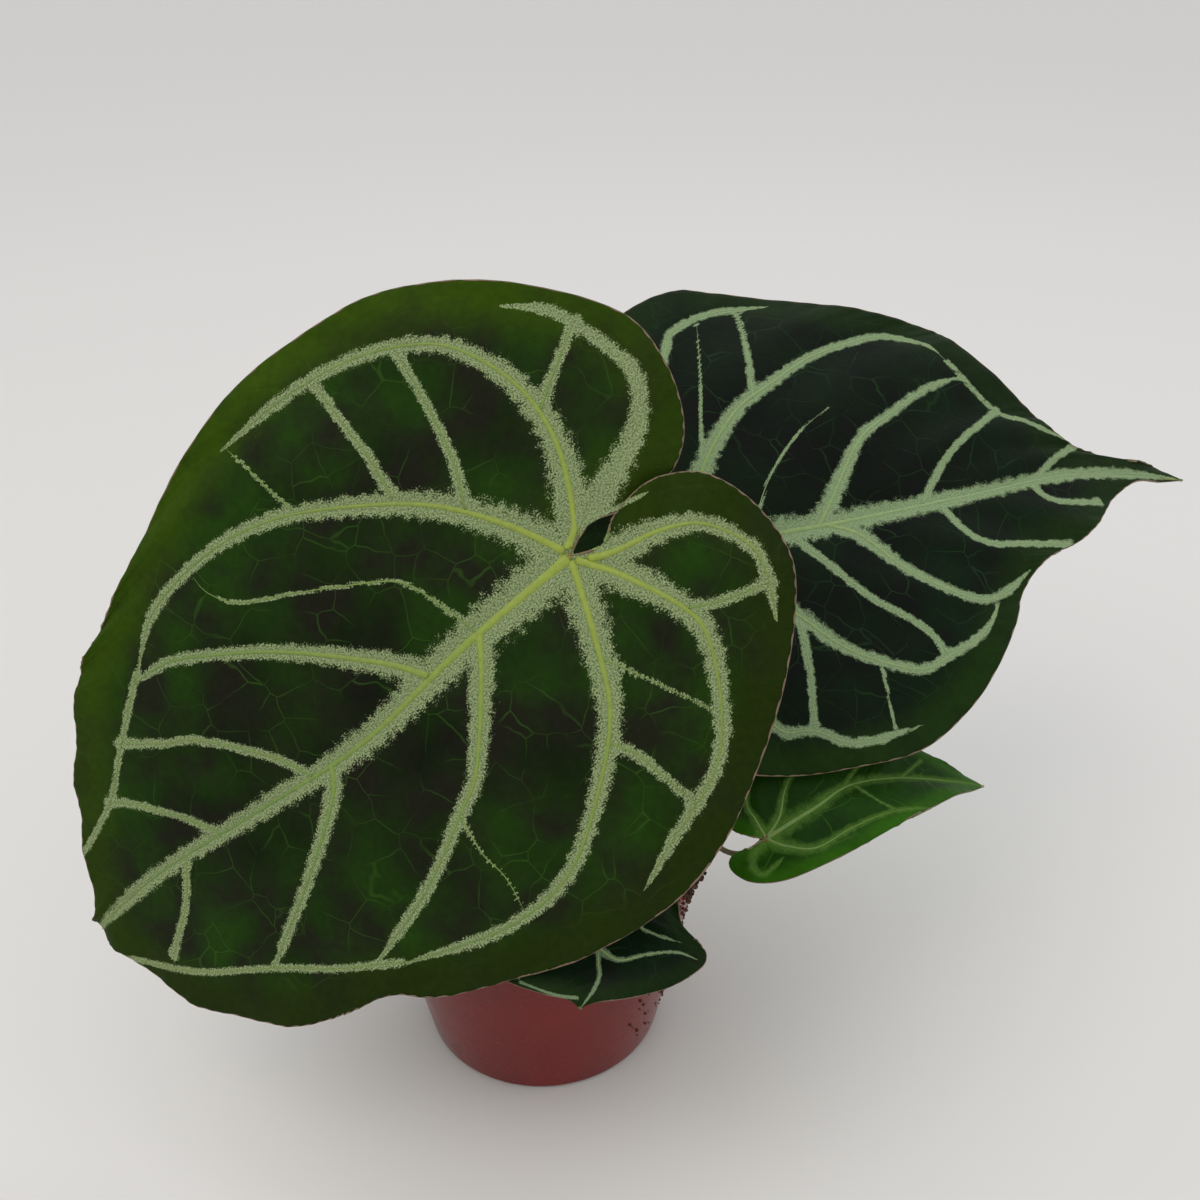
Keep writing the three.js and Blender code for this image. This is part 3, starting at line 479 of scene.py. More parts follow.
# One entry for each leaf, in millimetres and degrees.
# at, heading, pitch, roll: the stalk's joint and the way the midrib leaves it.
# arch, curl, curlFrom: how the midrib bends down, and where the tip starts to bend more.
# fold, dome: each half's lift from the midrib, and its bend across. lobeLift: how far a lobe stands up.
# left, right: the flattened margin. A row is along, across, where its vein line leaves the midrib, the
# angle it leaves at, and 1 on a main vein. veins: the kind of vein and its points on the flattened blade.
LEAVES = [
    {
        "name": "1", "at": [12, -32, 202], "heading": -164, "pitch": -36, "roll": -55, "arch": 0.0019,
        "curl": 0.085, "curlFrom": 193, "fold": [6, 5], "dome": [0.0018, 0.0024], "lobeLift": [4, 0],
        "wave": 0.9, "waves": 13, "midrib": [[0, 0], [40, 1], [80, 4], [120, 0], [165, -5], [211, -4]],
        "left": [
            [0, 0, 0, 155], [-7, 3, 0, 148], [-12, 2.4, 0, 137], [-17, -1, 0, 137], [-26, -2.5, 0, 136.5],
            [-35, -0.5, 0, 136], [-43, 6, 0, 135.5], [-48, 20, 0, 135], [-47, 36, 0, 134.5],
            [-39, 49, 0, 133.5, 1], [-23, 64, 0, 129], [-3, 78, 0, 123], [16, 87.5, 0, 115],
            [38, 92.5, 0, 108, 1], [66, 89.5, 0, 96], [88, 83, 0, 84], [109, 74.5, 0, 68, 1],
            [123, 66, 17, 61], [136, 63, 33, 52, 1], [146, 61, 60, 48], [160, 54, 92, 50, 1],
            [177, 40, 122, 45], [186, 28, 148, 42, 1], [196, 9, 176, 22], [203, -1, 194, 5],
            [211, -4, 211, 0],
        ],
        "right": [
            [0, 0, 0, 155], [-7, -3.2, 0, 148], [-13, -3, 0, 137], [-25, 0.2, 0, 137],
            [-38, -1.3, 0, 136.5], [-48, -10, 0, 136], [-53.5, -26, 0, 135.5], [-52, -45, 0, 135],
            [-31, -72, 0, 134, 1], [-9, -88.5, 0, 128], [13, -95, 0, 120], [43, -98, 0, 110],
            [78, -90.5, 0, 99, 1], [102, -81, 0, 87], [123, -73, 0, 73], [134, -69.5, 0, 63, 1],
            [141, -66.5, 26, 57], [147, -62, 52, 50, 1], [158, -52, 76, 48], [167, -43, 99, 47, 1],
            [176, -33, 118, 42], [184, -23, 136, 44, 1], [196, -10, 168, 28], [203, -7, 190, 15],
            [211, -4, 211, 0],
        ],
        "stalk": [[-3, -8, 120], [1, -13, 150], [9, -17, 180], [12, -26, 194], [12.2, -30.6, 200.2]],
        "stalkFrom": [-0.25, -0.35, 0.9],
        "veins": [
            (
                "main",
                [(-2, -2), (-13, -6), (-33, -14), (-42, -22), (-45, -31), (-41, -47), (-37, -56),
                 (-28, -65)],
            ),
            ("thin", [(-5, -4), (-12, -4), (-20, -2), (-28, 0)]),
            (
                "main",
                [(-1, -2), (-8, -8), (-17, -27), (-18, -46), (-11, -64), (0, -74), (15, -81),
                 (36, -85), (60, -86)],
            ),
            ("branch", [(-19, -36), (-27, -41), (-34, -45), (-41, -49)]),
            (
                "main",
                [(0, -2), (8, -18), (21, -35), (39, -49), (60, -61), (82, -66), (106, -64), (123, -54)],
            ),
            ("branch", [(14, -28), (9, -38), (6, -49), (4, -60), (2, -74)]),
            ("branch", [(28, -43), (26, -55), (26, -67), (26, -82)]),
            ("thin", [(53, -59), (55, -71), (56, -78), (58, -85)]),
            (
                "thin",
                [(33, 1), (36, -12), (41, -24), (54, -33), (66, -40), (82, -49), (88, -57), (89, -63)],
            ),
            ("main", [(52, 1), (60, -10), (82, -31), (106, -47), (116, -51), (127, -52)]),
            ("branch", [(99, 2), (105, -10), (120, -27), (130, -33), (143, -42)]),
            ("branch", [(136, -2), (142, -13), (152, -25), (160, -31)]),
            ("outer", [(123, -54), (142, -42), (160, -31), (188, -23)]),
            ("main", [(-4, 4), (-12, 7), (-24, 10), (-34, 16), (-40, 28), (-38, 38), (-33, 48)]),
            ("main", [(-1, 2), (-8, 12), (-16, 30), (-16, 41), (-7, 58), (5, 70), (26, 78), (40, 84)]),
            ("branch", [(-17, 31), (-25, 35), (-38, 39)]),
            ("main", [(0, 1), (8, 22), (17, 40), (33, 55), (54, 68), (76, 70), (100, 64), (111, 60)]),
            ("thin", [(10, 27), (6, 34), (2, 42), (-6, 58)]),
            ("branch", [(22, 47), (18, 54), (16, 64), (14, 74)]),
            ("main", [(33, 1), (40, 11), (57, 30), (69, 37), (91, 48), (118, 56)]),
            ("thin", [(69, 38), (70, 49), (69, 58), (71, 69)]),
            ("main", [(92, 3), (98, 11), (120, 25), (148, 39)]),
            ("branch", [(151, -4), (155, 1), (162, 8), (177, 17)]),
            ("outer", [(111, 60), (130, 50), (146, 40), (172, 26), (186, 16), (202, 3)]),
        ],
        "stalkRadii": [2.7, 1.9],
    },
    {
        "name": "2", "at": [50, 36, 169], "heading": 12, "pitch": 8, "roll": 43, "arch": 0.0018,
        "curl": 0.003, "curlFrom": 120, "fold": [2, 8], "dome": [0.003, 0.003], "lobeLift": [0, 0],
        "wave": 1, "waves": 9, "midrib": [[0, 0], [50, -2], [100, -1], [150, 1], [204, -5]],
        "left": [
            [0, 0, 0, 154], [-10, 3.5, 0, 151], [-22, 2.5, 0, 147], [-35, 1.5, 0, 145], [-41, 12, 0, 143],
            [-39.5, 28, 0, 141], [-33, 43, 0, 137], [-26, 59, 0, 132], [-15.5, 78, 0, 126], [0, 95, 0, 118],
            [20, 101.5, 0, 108], [38, 97.5, 0, 99, 1], [69, 87, 0, 87], [92, 78, 0, 75],
            [113, 67.5, 0, 61, 1], [121, 58.5, 20, 56], [137.5, 33, 45, 47, 1], [144, 23, 65, 43],
            [151, 13, 84, 37, 1], [166, 7.5, 112, 29], [180, 3.5, 129, 21, 1], [191, 0.8, 170, 10],
            [204, -5, 204, 0],
        ],
        "right": [
            [0, 0, 0, 163], [-9, -1.5, 0, 158], [-20, -2, 0, 152], [-30, -7, 0, 149], [-35, -17, 0, 147],
            [-35, -32, 0, 143], [-30, -48, 0, 138], [-21, -63, 0, 129], [-8, -75, 0, 118],
            [10, -81, 0, 104, 1], [30, -83.5, 0, 91], [56, -83, 0, 76], [80, -71, 0, 62],
            [99, -52, 0, 53, 1], [109, -39, 24, 47], [119.5, -30.5, 48, 44, 1], [129, -27, 68, 40],
            [139, -24.5, 90, 37, 1], [150, -18.5, 108, 33], [162.5, -10, 128, 28, 1], [176, -4.5, 156, 20],
            [190, -5, 182, 10], [204, -5, 204, 0],
        ],
        "stalk": [[14, 17, 118], [28, 30, 142], [42, 37, 157], [48.6, 36.7, 166.6]],
        "stalkFrom": [0.45, 0.45, 0.77],
        "veins": [
            ("main", [(0, 3), (-3, 18), (-3, 37), (2, 56), (12, 74), (18, 83), (35, 88), (56, 87)]),
            (
                "main",
                [(2, 3), (11, 25), (29, 45), (46, 54), (61, 61), (78, 65), (93, 66), (107, 60), (113, 51)],
            ),
            ("outer", [(113, 51), (124, 30), (136, 23), (149, 14)]),
            ("branch", [(37, 49), (40, 65), (42, 77), (43, 87)]),
            ("thin", [(12, 27), (16, 43), (22, 64), (27, 84)]),
            ("main", [(45, -2), (52, 6), (69, 26), (84, 34), (100, 41), (117, 44)]),
            ("thin", [(24, -1), (27, 9), (35, 20), (48, 32), (62, 40)]),
            ("branch", [(84, -1), (93, 9), (104, 18), (125, 29)]),
            ("branch", [(129, 0), (140, 7), (153, 12)]),
            ("main", [(0, -2), (-1, -15), (4, -34), (10, -64), (22, -69), (35, -76), (58, -75)]),
            (
                "main",
                [(1, -1), (11, -12), (28, -31), (41, -46), (61, -57), (74, -55), (88, -50), (98, -41)],
            ),
            ("branch", [(28, -33), (26, -50), (22, -69)]),
            ("thin", [(50, -52), (49, -63), (48, -76)]),
            ("branch", [(34, -2), (40, -11), (53, -30), (68, -44), (73, -55)]),
            ("main", [(48, -2), (58, -8), (71, -25), (89, -38), (101, -38), (113, -32)]),
            ("branch", [(90, -2), (95, -14), (102, -20), (113, -22), (133, -25)]),
            ("branch", [(128, 0), (134, -8), (153, -11)]),
        ],
        "stalkRadii": [2.4, 1.8],
    },
    {
        "name": "3", "at": [72, -32, 103], "heading": 20, "pitch": 18, "roll": 27, "arch": 0.01,
        "curl": 0.01, "curlFrom": 50, "fold": [8, 8], "dome": [0.006, 0.006], "lobeLift": [0, 0],
        "wave": 0.5, "waves": 6, "midrib": [[0, 0], [19, 2], [33, 4.5], [50, 2], [75, -4], [98, -7]],
        "left": [
            [0, 0, 0, 142], [-4, 3, 0, 140], [-8, 7.5, 0, 137], [-8.5, 13.5, 0, 130], [-4, 19.5, 0, 118],
            [3, 24, 0, 104, 1], [12, 26.5, 0, 90], [23, 26.8, 0, 75], [34, 25, 0, 59, 1], [48, 20, 18, 50],
            [60, 15, 32, 44, 1], [68, 10, 44, 40], [76, 4, 53, 32, 1], [86, -2, 74, 15], [98, -7, 98, 0],
        ],
        "right": [
            [0, 0, 0, 172], [-5, -0.5, 0, 168], [-10.5, 0.6, 0, 158], [-13.6, -1.2, 0, 155],
            [-14, -4.5, 0, 150], [-11, -9.8, 0, 142], [-5, -13.4, 0, 123, 1], [4, -15.4, 0, 98],
            [17, -15.8, 0, 72], [34, -14.6, 0, 50], [53, -12.4, 0, 34, 1], [62, -11.2, 28, 32],
            [72, -9.9, 50, 28], [85, -8.8, 74, 20], [98, -7, 98, 0],
        ],
        "stalk": [[25, -9, 103], [45, -23, 102.5], [54, -28, 99.6], [61, -31, 96.5],
                  [67, -32.2, 97.2], [70.1, -31.8, 100.4]],
        "stalkFrom": [0.83, -0.1, 0.55],
        "veins": [
            ("main", [(0, 0), (4, -5), (12, -10), (25, -9), (41, -9), (56, -12)]),
            ("branch", [(35, 4), (39, -4), (43, -9)]),
            ("main", [(0, 0), (-6, -3), (-8, -7), (-6, -10), (2, -8)]),
            ("main", [(0, 0), (7, 4), (12, 10), (17, 14), (28, 17)]),
            ("main", [(0, 0), (0, 7), (0, 12), (4, 19)]),
            ("branch", [(32, 5), (40, 9), (53, 12)]),
            ("branch", [(53, 1), (66, 5)]),
        ],
        "stalkRadii": [1.9, 1.1],
    },
    {
        "name": "4", "at": [24, -44, 106], "heading": -101, "pitch": -6, "roll": 0, "arch": 0.012,
        "curl": 0.04, "curlFrom": 42, "fold": [2, 2], "dome": [0.008, 0.006], "lobeLift": [0, 0],
        "wave": 0.6, "waves": 7, "midrib": [[0, 0], [20, 0], [33, 2], [40, 3], [48, -1]],
        "left": [
            [0, 0, 0, 161], [-5, 1.2, 0, 159], [-10, 3, 0, 155], [-13.5, 8, 0, 149], [-12, 15, 0, 138],
            [-4, 20, 0, 115, 1], [6, 21.5, 0, 96], [14, 22.5, 0, 82], [19, 24.2, 2, 70],
            [23, 28.5, 8, 66, 1], [27, 32.5, 15, 68], [32, 31, 24, 66, 1], [38, 24, 31, 56],
            [43, 13, 37, 45], [45.5, 4, 42, 25], [48, -1, 48, 0],
        ],
        "right": [
            [0, 0, 0, 159], [-5, -1.5, 0, 157], [-10, -4, 0, 153], [-13, -10, 0, 147], [-12, -18, 0, 136],
            [-5, -26, 0, 118], [6, -32, 0, 98, 1], [18, -35, 0, 82], [30, -35.5, 2, 72],
            [39, -31.5, 8, 64, 1], [43.5, -23, 20, 56], [45.5, -12, 33, 50, 1], [46, -5, 41, 50],
            [48, -1, 48, 30],
        ],
        "stalk": [[9, -18, 100], [17, -31, 101.4], [22.9, -41.8, 103.9]], "stalkFrom": [0.25, -0.83, 0.5],
        "veins": [
            ("main", [(0, 0), (-5, 9), (-3, 15), (6, 18)]),
            ("main", [(4, 0), (14, 8), (22, 12), (24, 17), (25, 25)]),
            ("main", [(30, 1), (33, 8), (30, 16), (28, 24), (29, 30)]),
            ("main", [(0, 0), (-5, -9), (-3, -20), (6, -27)]),
            ("main", [(4, 0), (13, -12), (22, -24), (33, -31)]),
            ("main", [(18, 0), (27, -10), (36, -21), (43, -19)]),
            ("branch", [(45, -2), (45, -9), (43, -19)]),
        ],
        "stalkRadii": [2, 1.2],
    },
]


def smooth_rows(rows, steps):
    """A smooth run through rows of numbers, with the same count of steps in each span."""
    rows = np.array([row[:4] for row in rows], float)
    before = np.vstack([rows[:1], rows[:-2]])[:, None]
    a, b = rows[:-1, None], rows[1:, None]
    after = np.vstack([rows[2:], rows[-1:]])[:, None]
    t = (np.arange(steps) / steps)[None, :, None]
    run = 2 * a + (b - before) * t + (2 * before - 5 * a + 4 * b - after) * t**2
    run = 0.5 * (run + (3 * a - before - 3 * b + after) * t**3)
    return np.vstack([run.reshape(-1, rows.shape[1]), rows[-1:]])


def leaf_axes(leaf):
    """Rows: along the midrib, across the blade, out of its upper face."""
    heading, pitch, roll = (math.radians(leaf[key]) for key in ("heading", "pitch", "roll"))
    along = np.array(
        [math.cos(pitch) * math.cos(heading), math.cos(pitch) * math.sin(heading), math.sin(pitch)]
    )
    level = np.array([-math.sin(heading), math.cos(heading), 0])
    across = level * math.cos(roll) + np.cross(along, level) * math.sin(roll)
    return np.array([along, across, np.cross(along, across)])


def bent(leaf, u, v, middle, half, rise):
    """Points of the flattened blade, bent into their place on the plant."""
    side = np.where(half > 0, 0, 1)
    arch, curl = leaf["arch"], leaf["curl"]
    turn = arch * np.minimum(u, leaf["curlFrom"])
    more = curl * np.maximum(u - leaf["curlFrom"], 0)
    x1, z1 = np.sin(turn) / arch, (np.cos(turn) - 1) / arch
    x2, z2 = np.sin(more) / curl, (np.cos(more) - 1) / curl
    x = x1 + np.cos(turn) * x2 + np.sin(turn) * z2
    z = z1 - np.sin(turn) * x2 + np.cos(turn) * z2
    across = half * (v - middle)
    fold = np.radians(np.array(leaf["fold"]))[side]
    dome = np.array(leaf["dome"])[side]
    y0, z0 = np.sin(dome * across) / dome, (np.cos(dome * across) - 1) / dome
    y = y0 * np.cos(fold) - z0 * np.sin(fold)
    lift = np.array(leaf["lobeLift"])[side] * ramp(-u, 0, 40)
    h = y0 * np.sin(fold) + z0 * np.cos(fold) + lift + rise
    local = np.stack([x + h * np.sin(turn + more), middle + half * y, z + h * np.cos(turn + more)], axis=-1)
    return local @ leaf_axes(leaf) + np.array(leaf["at"])


def distance(points, path):
    """Distance from each point to a path, and how far along the path the nearest place is, from 0 to 1."""
    best = np.full(len(points), 1e9)
    where = np.zeros(len(points))
    lengths = np.linalg.norm(np.diff(path, axis=0), axis=1)
    sums = np.concatenate([[0], np.cumsum(lengths)])
    for i, long in enumerate(lengths):
        a, step = path[i], path[i + 1] - path[i]
        t = np.clip((points - a) @ step / max(long**2, 1e-9), 0, 1)
        d = np.linalg.norm(points - a - t[:, None] * step, axis=1)
        nearer = d < best
        best[nearer] = d[nearer]
        where[nearer] = (sums[i] + t[nearer] * long) / sums[-1]
    return best, where


def vein_paths(leaf):
    """Every vein's kind and its smooth path on the flattened blade, the midrib first."""
    midrib = smooth_rows(leaf["midrib"], 12)[:, :2]
    yield "midrib", midrib[:-2]
    for kind, path in leaf["veins"]:
        yield kind, smooth_rows(path, 7)[:, :2]


def blade_grid(leaf, rows):
    """The upper face: its flattened points, the half and rise of each, the faces and the two margins."""
    rib = smooth_rows(leaf["midrib"], 12)
    lines = {1: smooth_rows(leaf["left"], STEPS), -1: smooth_rows(leaf["right"], STEPS)}
    roots = {half: np.maximum(np.round(run[:, 2]), 0).astype(int) for half, run in lines.items()}
    stations = sorted(set(roots[1]) | set(roots[-1]))
    number = {u: i for i, u in enumerate(stations)}
    flat = [np.stack([stations, np.interp(stations, rib[:, 0], rib[:, 1])], axis=1)]
    halves, rises = [np.ones(len(stations))], [np.zeros(len(stations))]
    faces, margins = [], []
    count = len(stations)
    for half, run in lines.items():
        root = roots[half]
        last = len(run) - 1
        start = np.stack([root, np.interp(root, rib[:, 0], rib[:, 1])], axis=1)
        chord = run[:, :2] - start
        long = np.hypot(chord[:, 0], chord[:, 1])
        straight = np.arctan2(chord[:, 1], chord[:, 0])
        turn = half * np.radians(run[:, 3]) - straight
        swing = np.clip(np.arctan2(np.sin(turn), np.cos(turn)), -1.2, 1.2)
        reach = long / 2 / np.cos(swing)
        control = start + reach[:, None] * np.stack([np.cos(straight + swing), np.sin(straight + swing)], 1)
        f = (np.arange(1, rows + 1) / rows)[None, :, None]
        grid = (1 - f) ** 2 * start[:, None] + 2 * f * (1 - f) * control[:, None] + f**2 * run[:, None, :2]
        f = f[..., 0]
        margin = leaf["left"] if half > 0 else leaf["right"]
        veins = [0] + [i * STEPS for i, row in enumerate(margin) if len(row) > 4] + [last]
        s = np.arange(last + 1)
        before = np.array(veins)[np.clip(np.searchsorted(veins, s, side="right") - 1, 0, len(veins) - 2)]
        after = np.array(veins)[np.clip(np.searchsorted(veins, s, side="right"), 1, len(veins) - 1)]
        between = np.sin(np.pi * (s - before) / (after - before)) ** 2
        swell = QUILT * (between * np.minimum(1, long / 60))[:, None] * 4 * f * (1 - f)
        phase = 2 * np.pi * leaf["waves"] * s / last
        ripple = leaf["wave"] * f**4 * np.sin(phase)[:, None]
        # The margin is also puckered in short uneven waves
        pucker = np.sin(phase * 3.3 + 1) + 0.7 * np.sin(phase * 7.1)
        ripple = ripple + 0.16 * f**8 * pucker[:, None] * leaf["wave"]
        fade = np.minimum(1, np.hypot(run[:, 0], run[:, 1]) / 20) * np.minimum(1, (last - s) / 20)
        index = np.zeros((last + 1, rows + 1), int)
        index[1:last, 1:] = count + np.arange((last - 1) * rows).reshape(-1, rows)
        index[1:last, 0] = [number[u] for u in root[1:last]]
        index[last] = number[stations[-1]]
        count += (last - 1) * rows
        flat.append(grid[1:last].reshape(-1, 2))
        halves.append(np.full((last - 1) * rows, half))
        rises.append(((swell + ripple) * fade[:, None])[1:last].reshape(-1))
        for i in range(last):
            for j in range(rows):
                a, b, c, d = index[i, j], index[i + 1, j], index[i + 1, j + 1], index[i, j + 1]
                ring = [a, b, c, d]
                if j == 0:
                    ring = [number[u] for u in stations if root[i] <= u <= root[i + 1]] + [c, d]
                ring = list(dict.fromkeys(int(n) for n in ring))
                if len(ring) > 2:
                    faces.append(ring if half > 0 else ring[::-1])
        margins.append(index[:, rows])
    return np.vstack(flat) * INSET, np.concatenate(halves), np.concatenate(rises), faces, margins


def vertex_normals(points, faces):
    mesh = bpy.data.meshes.new("measure")
    mesh.from_pydata(points.tolist(), [], faces)
    normals = np.zeros(len(points) * 3)
    mesh.vertices.foreach_get("normal", normals)
    bpy.data.meshes.remove(mesh)
    return normals.reshape(-1, 3)


def leaf_blade(leaf, rows, finish, slot, band=1.0):
    """Builds one blade, and returns what its veins and edge need to lie on its face."""
    flat, half, rise, faces, margins = blade_grid(leaf, rows)
    frost = np.full(len(flat), -2.0)
    crease = np.zeros(len(flat))
    for kind, path in vein_paths(leaf):
        wide, narrow, thick, _ = VEIN_SIZES[kind]
        d, t = distance(flat, path)
        # The band is widest by the joint, narrows along the vein and spreads where it meets the next one
        wide = narrow + (wide - narrow) * math.exp(-np.hypot(*path[0]) / 90)
        reach = narrow + (wide - narrow) * (1 - t) ** 2.6
        if kind == "branch":
            reach = reach + 0.8 * t**14
        else:
            reach = reach * np.minimum(1, 0.2 + 6 * (1 - t))
        reach = reach * band
        frost = np.maximum(frost, 1 - d / reach)
        crease = np.maximum(crease, min(thick, 1) * (1 - 0.6 * t) * np.exp(-((d / 2.4) ** 2)))
    rim = np.full(len(flat), 1e9)
    for side in margins:
        edge = flat[side[:: STEPS // 3]]
        rim = np.minimum(rim, distance(flat, edge)[0])
    rise = rise - 0.55 * crease * ramp(rim, 0, 6) * min(band, 1)
    rib = smooth_rows(leaf["midrib"], 12)
    middle = np.interp(flat[:, 0], rib[:, 0], rib[:, 1])
    upper = bent(leaf, flat[:, 0], flat[:, 1], middle, half, rise)
    normals = vertex_normals(upper, faces)
    lower = upper - normals * BLADE_THICKNESS
    count = len(upper)
    walls = []
    for side, turned_round in zip(margins, (False, True)):
        run = [int(n) for n in side]
        for p, q in zip(run[:-1], run[1:]):
            if p != q:
                wall = (p, q, q + count, p + count)
                walls.append(wall[::-1] if turned_round else wall)
    under = [tuple(count + n for n in reversed(face)) for face in faces]
    values = {
        "frost": np.tile(frost, 2),
        "rim": np.tile(rim, 2),
        "upper": np.repeat([1.0, 0.0], count),
    }
    name = "leaf_" + leaf["name"]
    blade = solid(
        name, np.vstack([upper, lower]), faces + under + walls, finish, slot, "blade_" + leaf["name"],
        values=values,
    )
    layer = blade.data.uv_layers.new(name="flattened")
    corners = np.zeros(len(blade.data.loops), int)
    blade.data.loops.foreach_get("vertex_index", corners)
    layer.data.foreach_set("uv", (np.tile(flat, (2, 1))[corners] * MM).reshape(-1))
    tree = kdtree.KDTree(count)
    for i, (u, v) in enumerate(flat):
        tree.insert((u, v, 0), i)
    tree.balance()
    return {"rim": rim, "rise": rise, "normals": normals, "tree": tree, "margins": margins, "upper": upper}


def on_blade(leaf, face, path):
    """A path of the flattened blade as points on its upper face, with the face's normals."""
    rises, normals = [], []
    for u, v in path:
        found = face["tree"].find_n((u, v, 0), 4)
        weight = np.array([1 / (d + 0.2) for _, _, d in found])
        pick = [i for _, i, _ in found]
        weight /= weight.sum()
        rises.append(float(weight @ face["rise"][pick]))
        normals.append(weight @ face["normals"][pick])
    rib = smooth_rows(leaf["midrib"], 12)
    middle = np.interp(path[:, 0], rib[:, 0], rib[:, 1])
    half = np.where(path[:, 1] >= middle, 1, -1)
    return bent(leaf, path[:, 0], path[:, 1], middle, half, np.array(rises)), np.array(normals)


def leaf_veins(leaf, face, finish, slot, scale=1.0):
    """The veins' cords, a low ridge on the upper face and a strong round rib on the lower one."""
    points, faces, reach = [], [], []
    count = 0
    for kind, path in vein_paths(leaf):
        _, _, thick, fine = (size * scale for size in VEIN_SIZES[kind])
        inside = [face["rim"][face["tree"].find((u, v, 0))[1]] > VEIN_STOP for u, v in path[3:]]
        path = path[: 3 + (inside + [False]).index(False)]
        line, normals = on_blade(leaf, face, path)
        t = np.linspace(0, 1, len(path))
        radius = fine + (thick - fine) * (1 - t) ** 1.7
        radius = radius * np.minimum(1, 0.35 + 3 * (1 - t))
        above = 0.1 + 0.3 * radius
        below = BLADE_THICKNESS + 0.75 * radius if kind in ("midrib", "main") else 0.4 + 0.5 * radius
        high = (above + below) / 2
        line = line + normals * (above - high)[:, None]
        more = sweep(line, normals, radius, high, 10, count)
        points.append(more[0])
        faces += more[1]
        count += len(more[0])
        far = np.clip(np.hypot(path[:, 0], path[:, 1]) / 150 + 0.35 * t, 0, 1)
        far = far if kind in ("midrib", "main") else np.full(len(path), 0.85)
        reach.append(np.concatenate([np.repeat(far, 10), far[[0, -1]]]))
    name = "veins_" + leaf["name"]
    return solid(name, np.vstack(points), faces, finish, slot, values={"reach": np.concatenate(reach)})


def leaf_edge(leaf, face, finish, slot, radius=0.26):
    """The blade's tough rounded edge, a thin pale cord all round the margin."""
    points, faces, count = [], [], 0
    for side in face["margins"]:
        run = np.array(list(dict.fromkeys(int(n) for n in side)))[::2]
        line = face["upper"][run] - face["normals"][run] * BLADE_THICKNESS / 2
        middle = line.mean(axis=0)
        inward = middle - line
        line = line + inward / np.linalg.norm(inward, axis=1)[:, None] * radius * 0.3
        rank = np.arange(len(run))
        taper = np.minimum(1, 0.4 + rank / 8) * np.minimum(1, 0.3 + rank[::-1] / 12)
        more = sweep(line, face["normals"][run], radius * taper, radius * taper, 8, count)
        points.append(more[0])
        faces += more[1]
        count += len(more[0])
    return solid("edge_" + leaf["name"], np.vstack(points), faces, finish, slot)


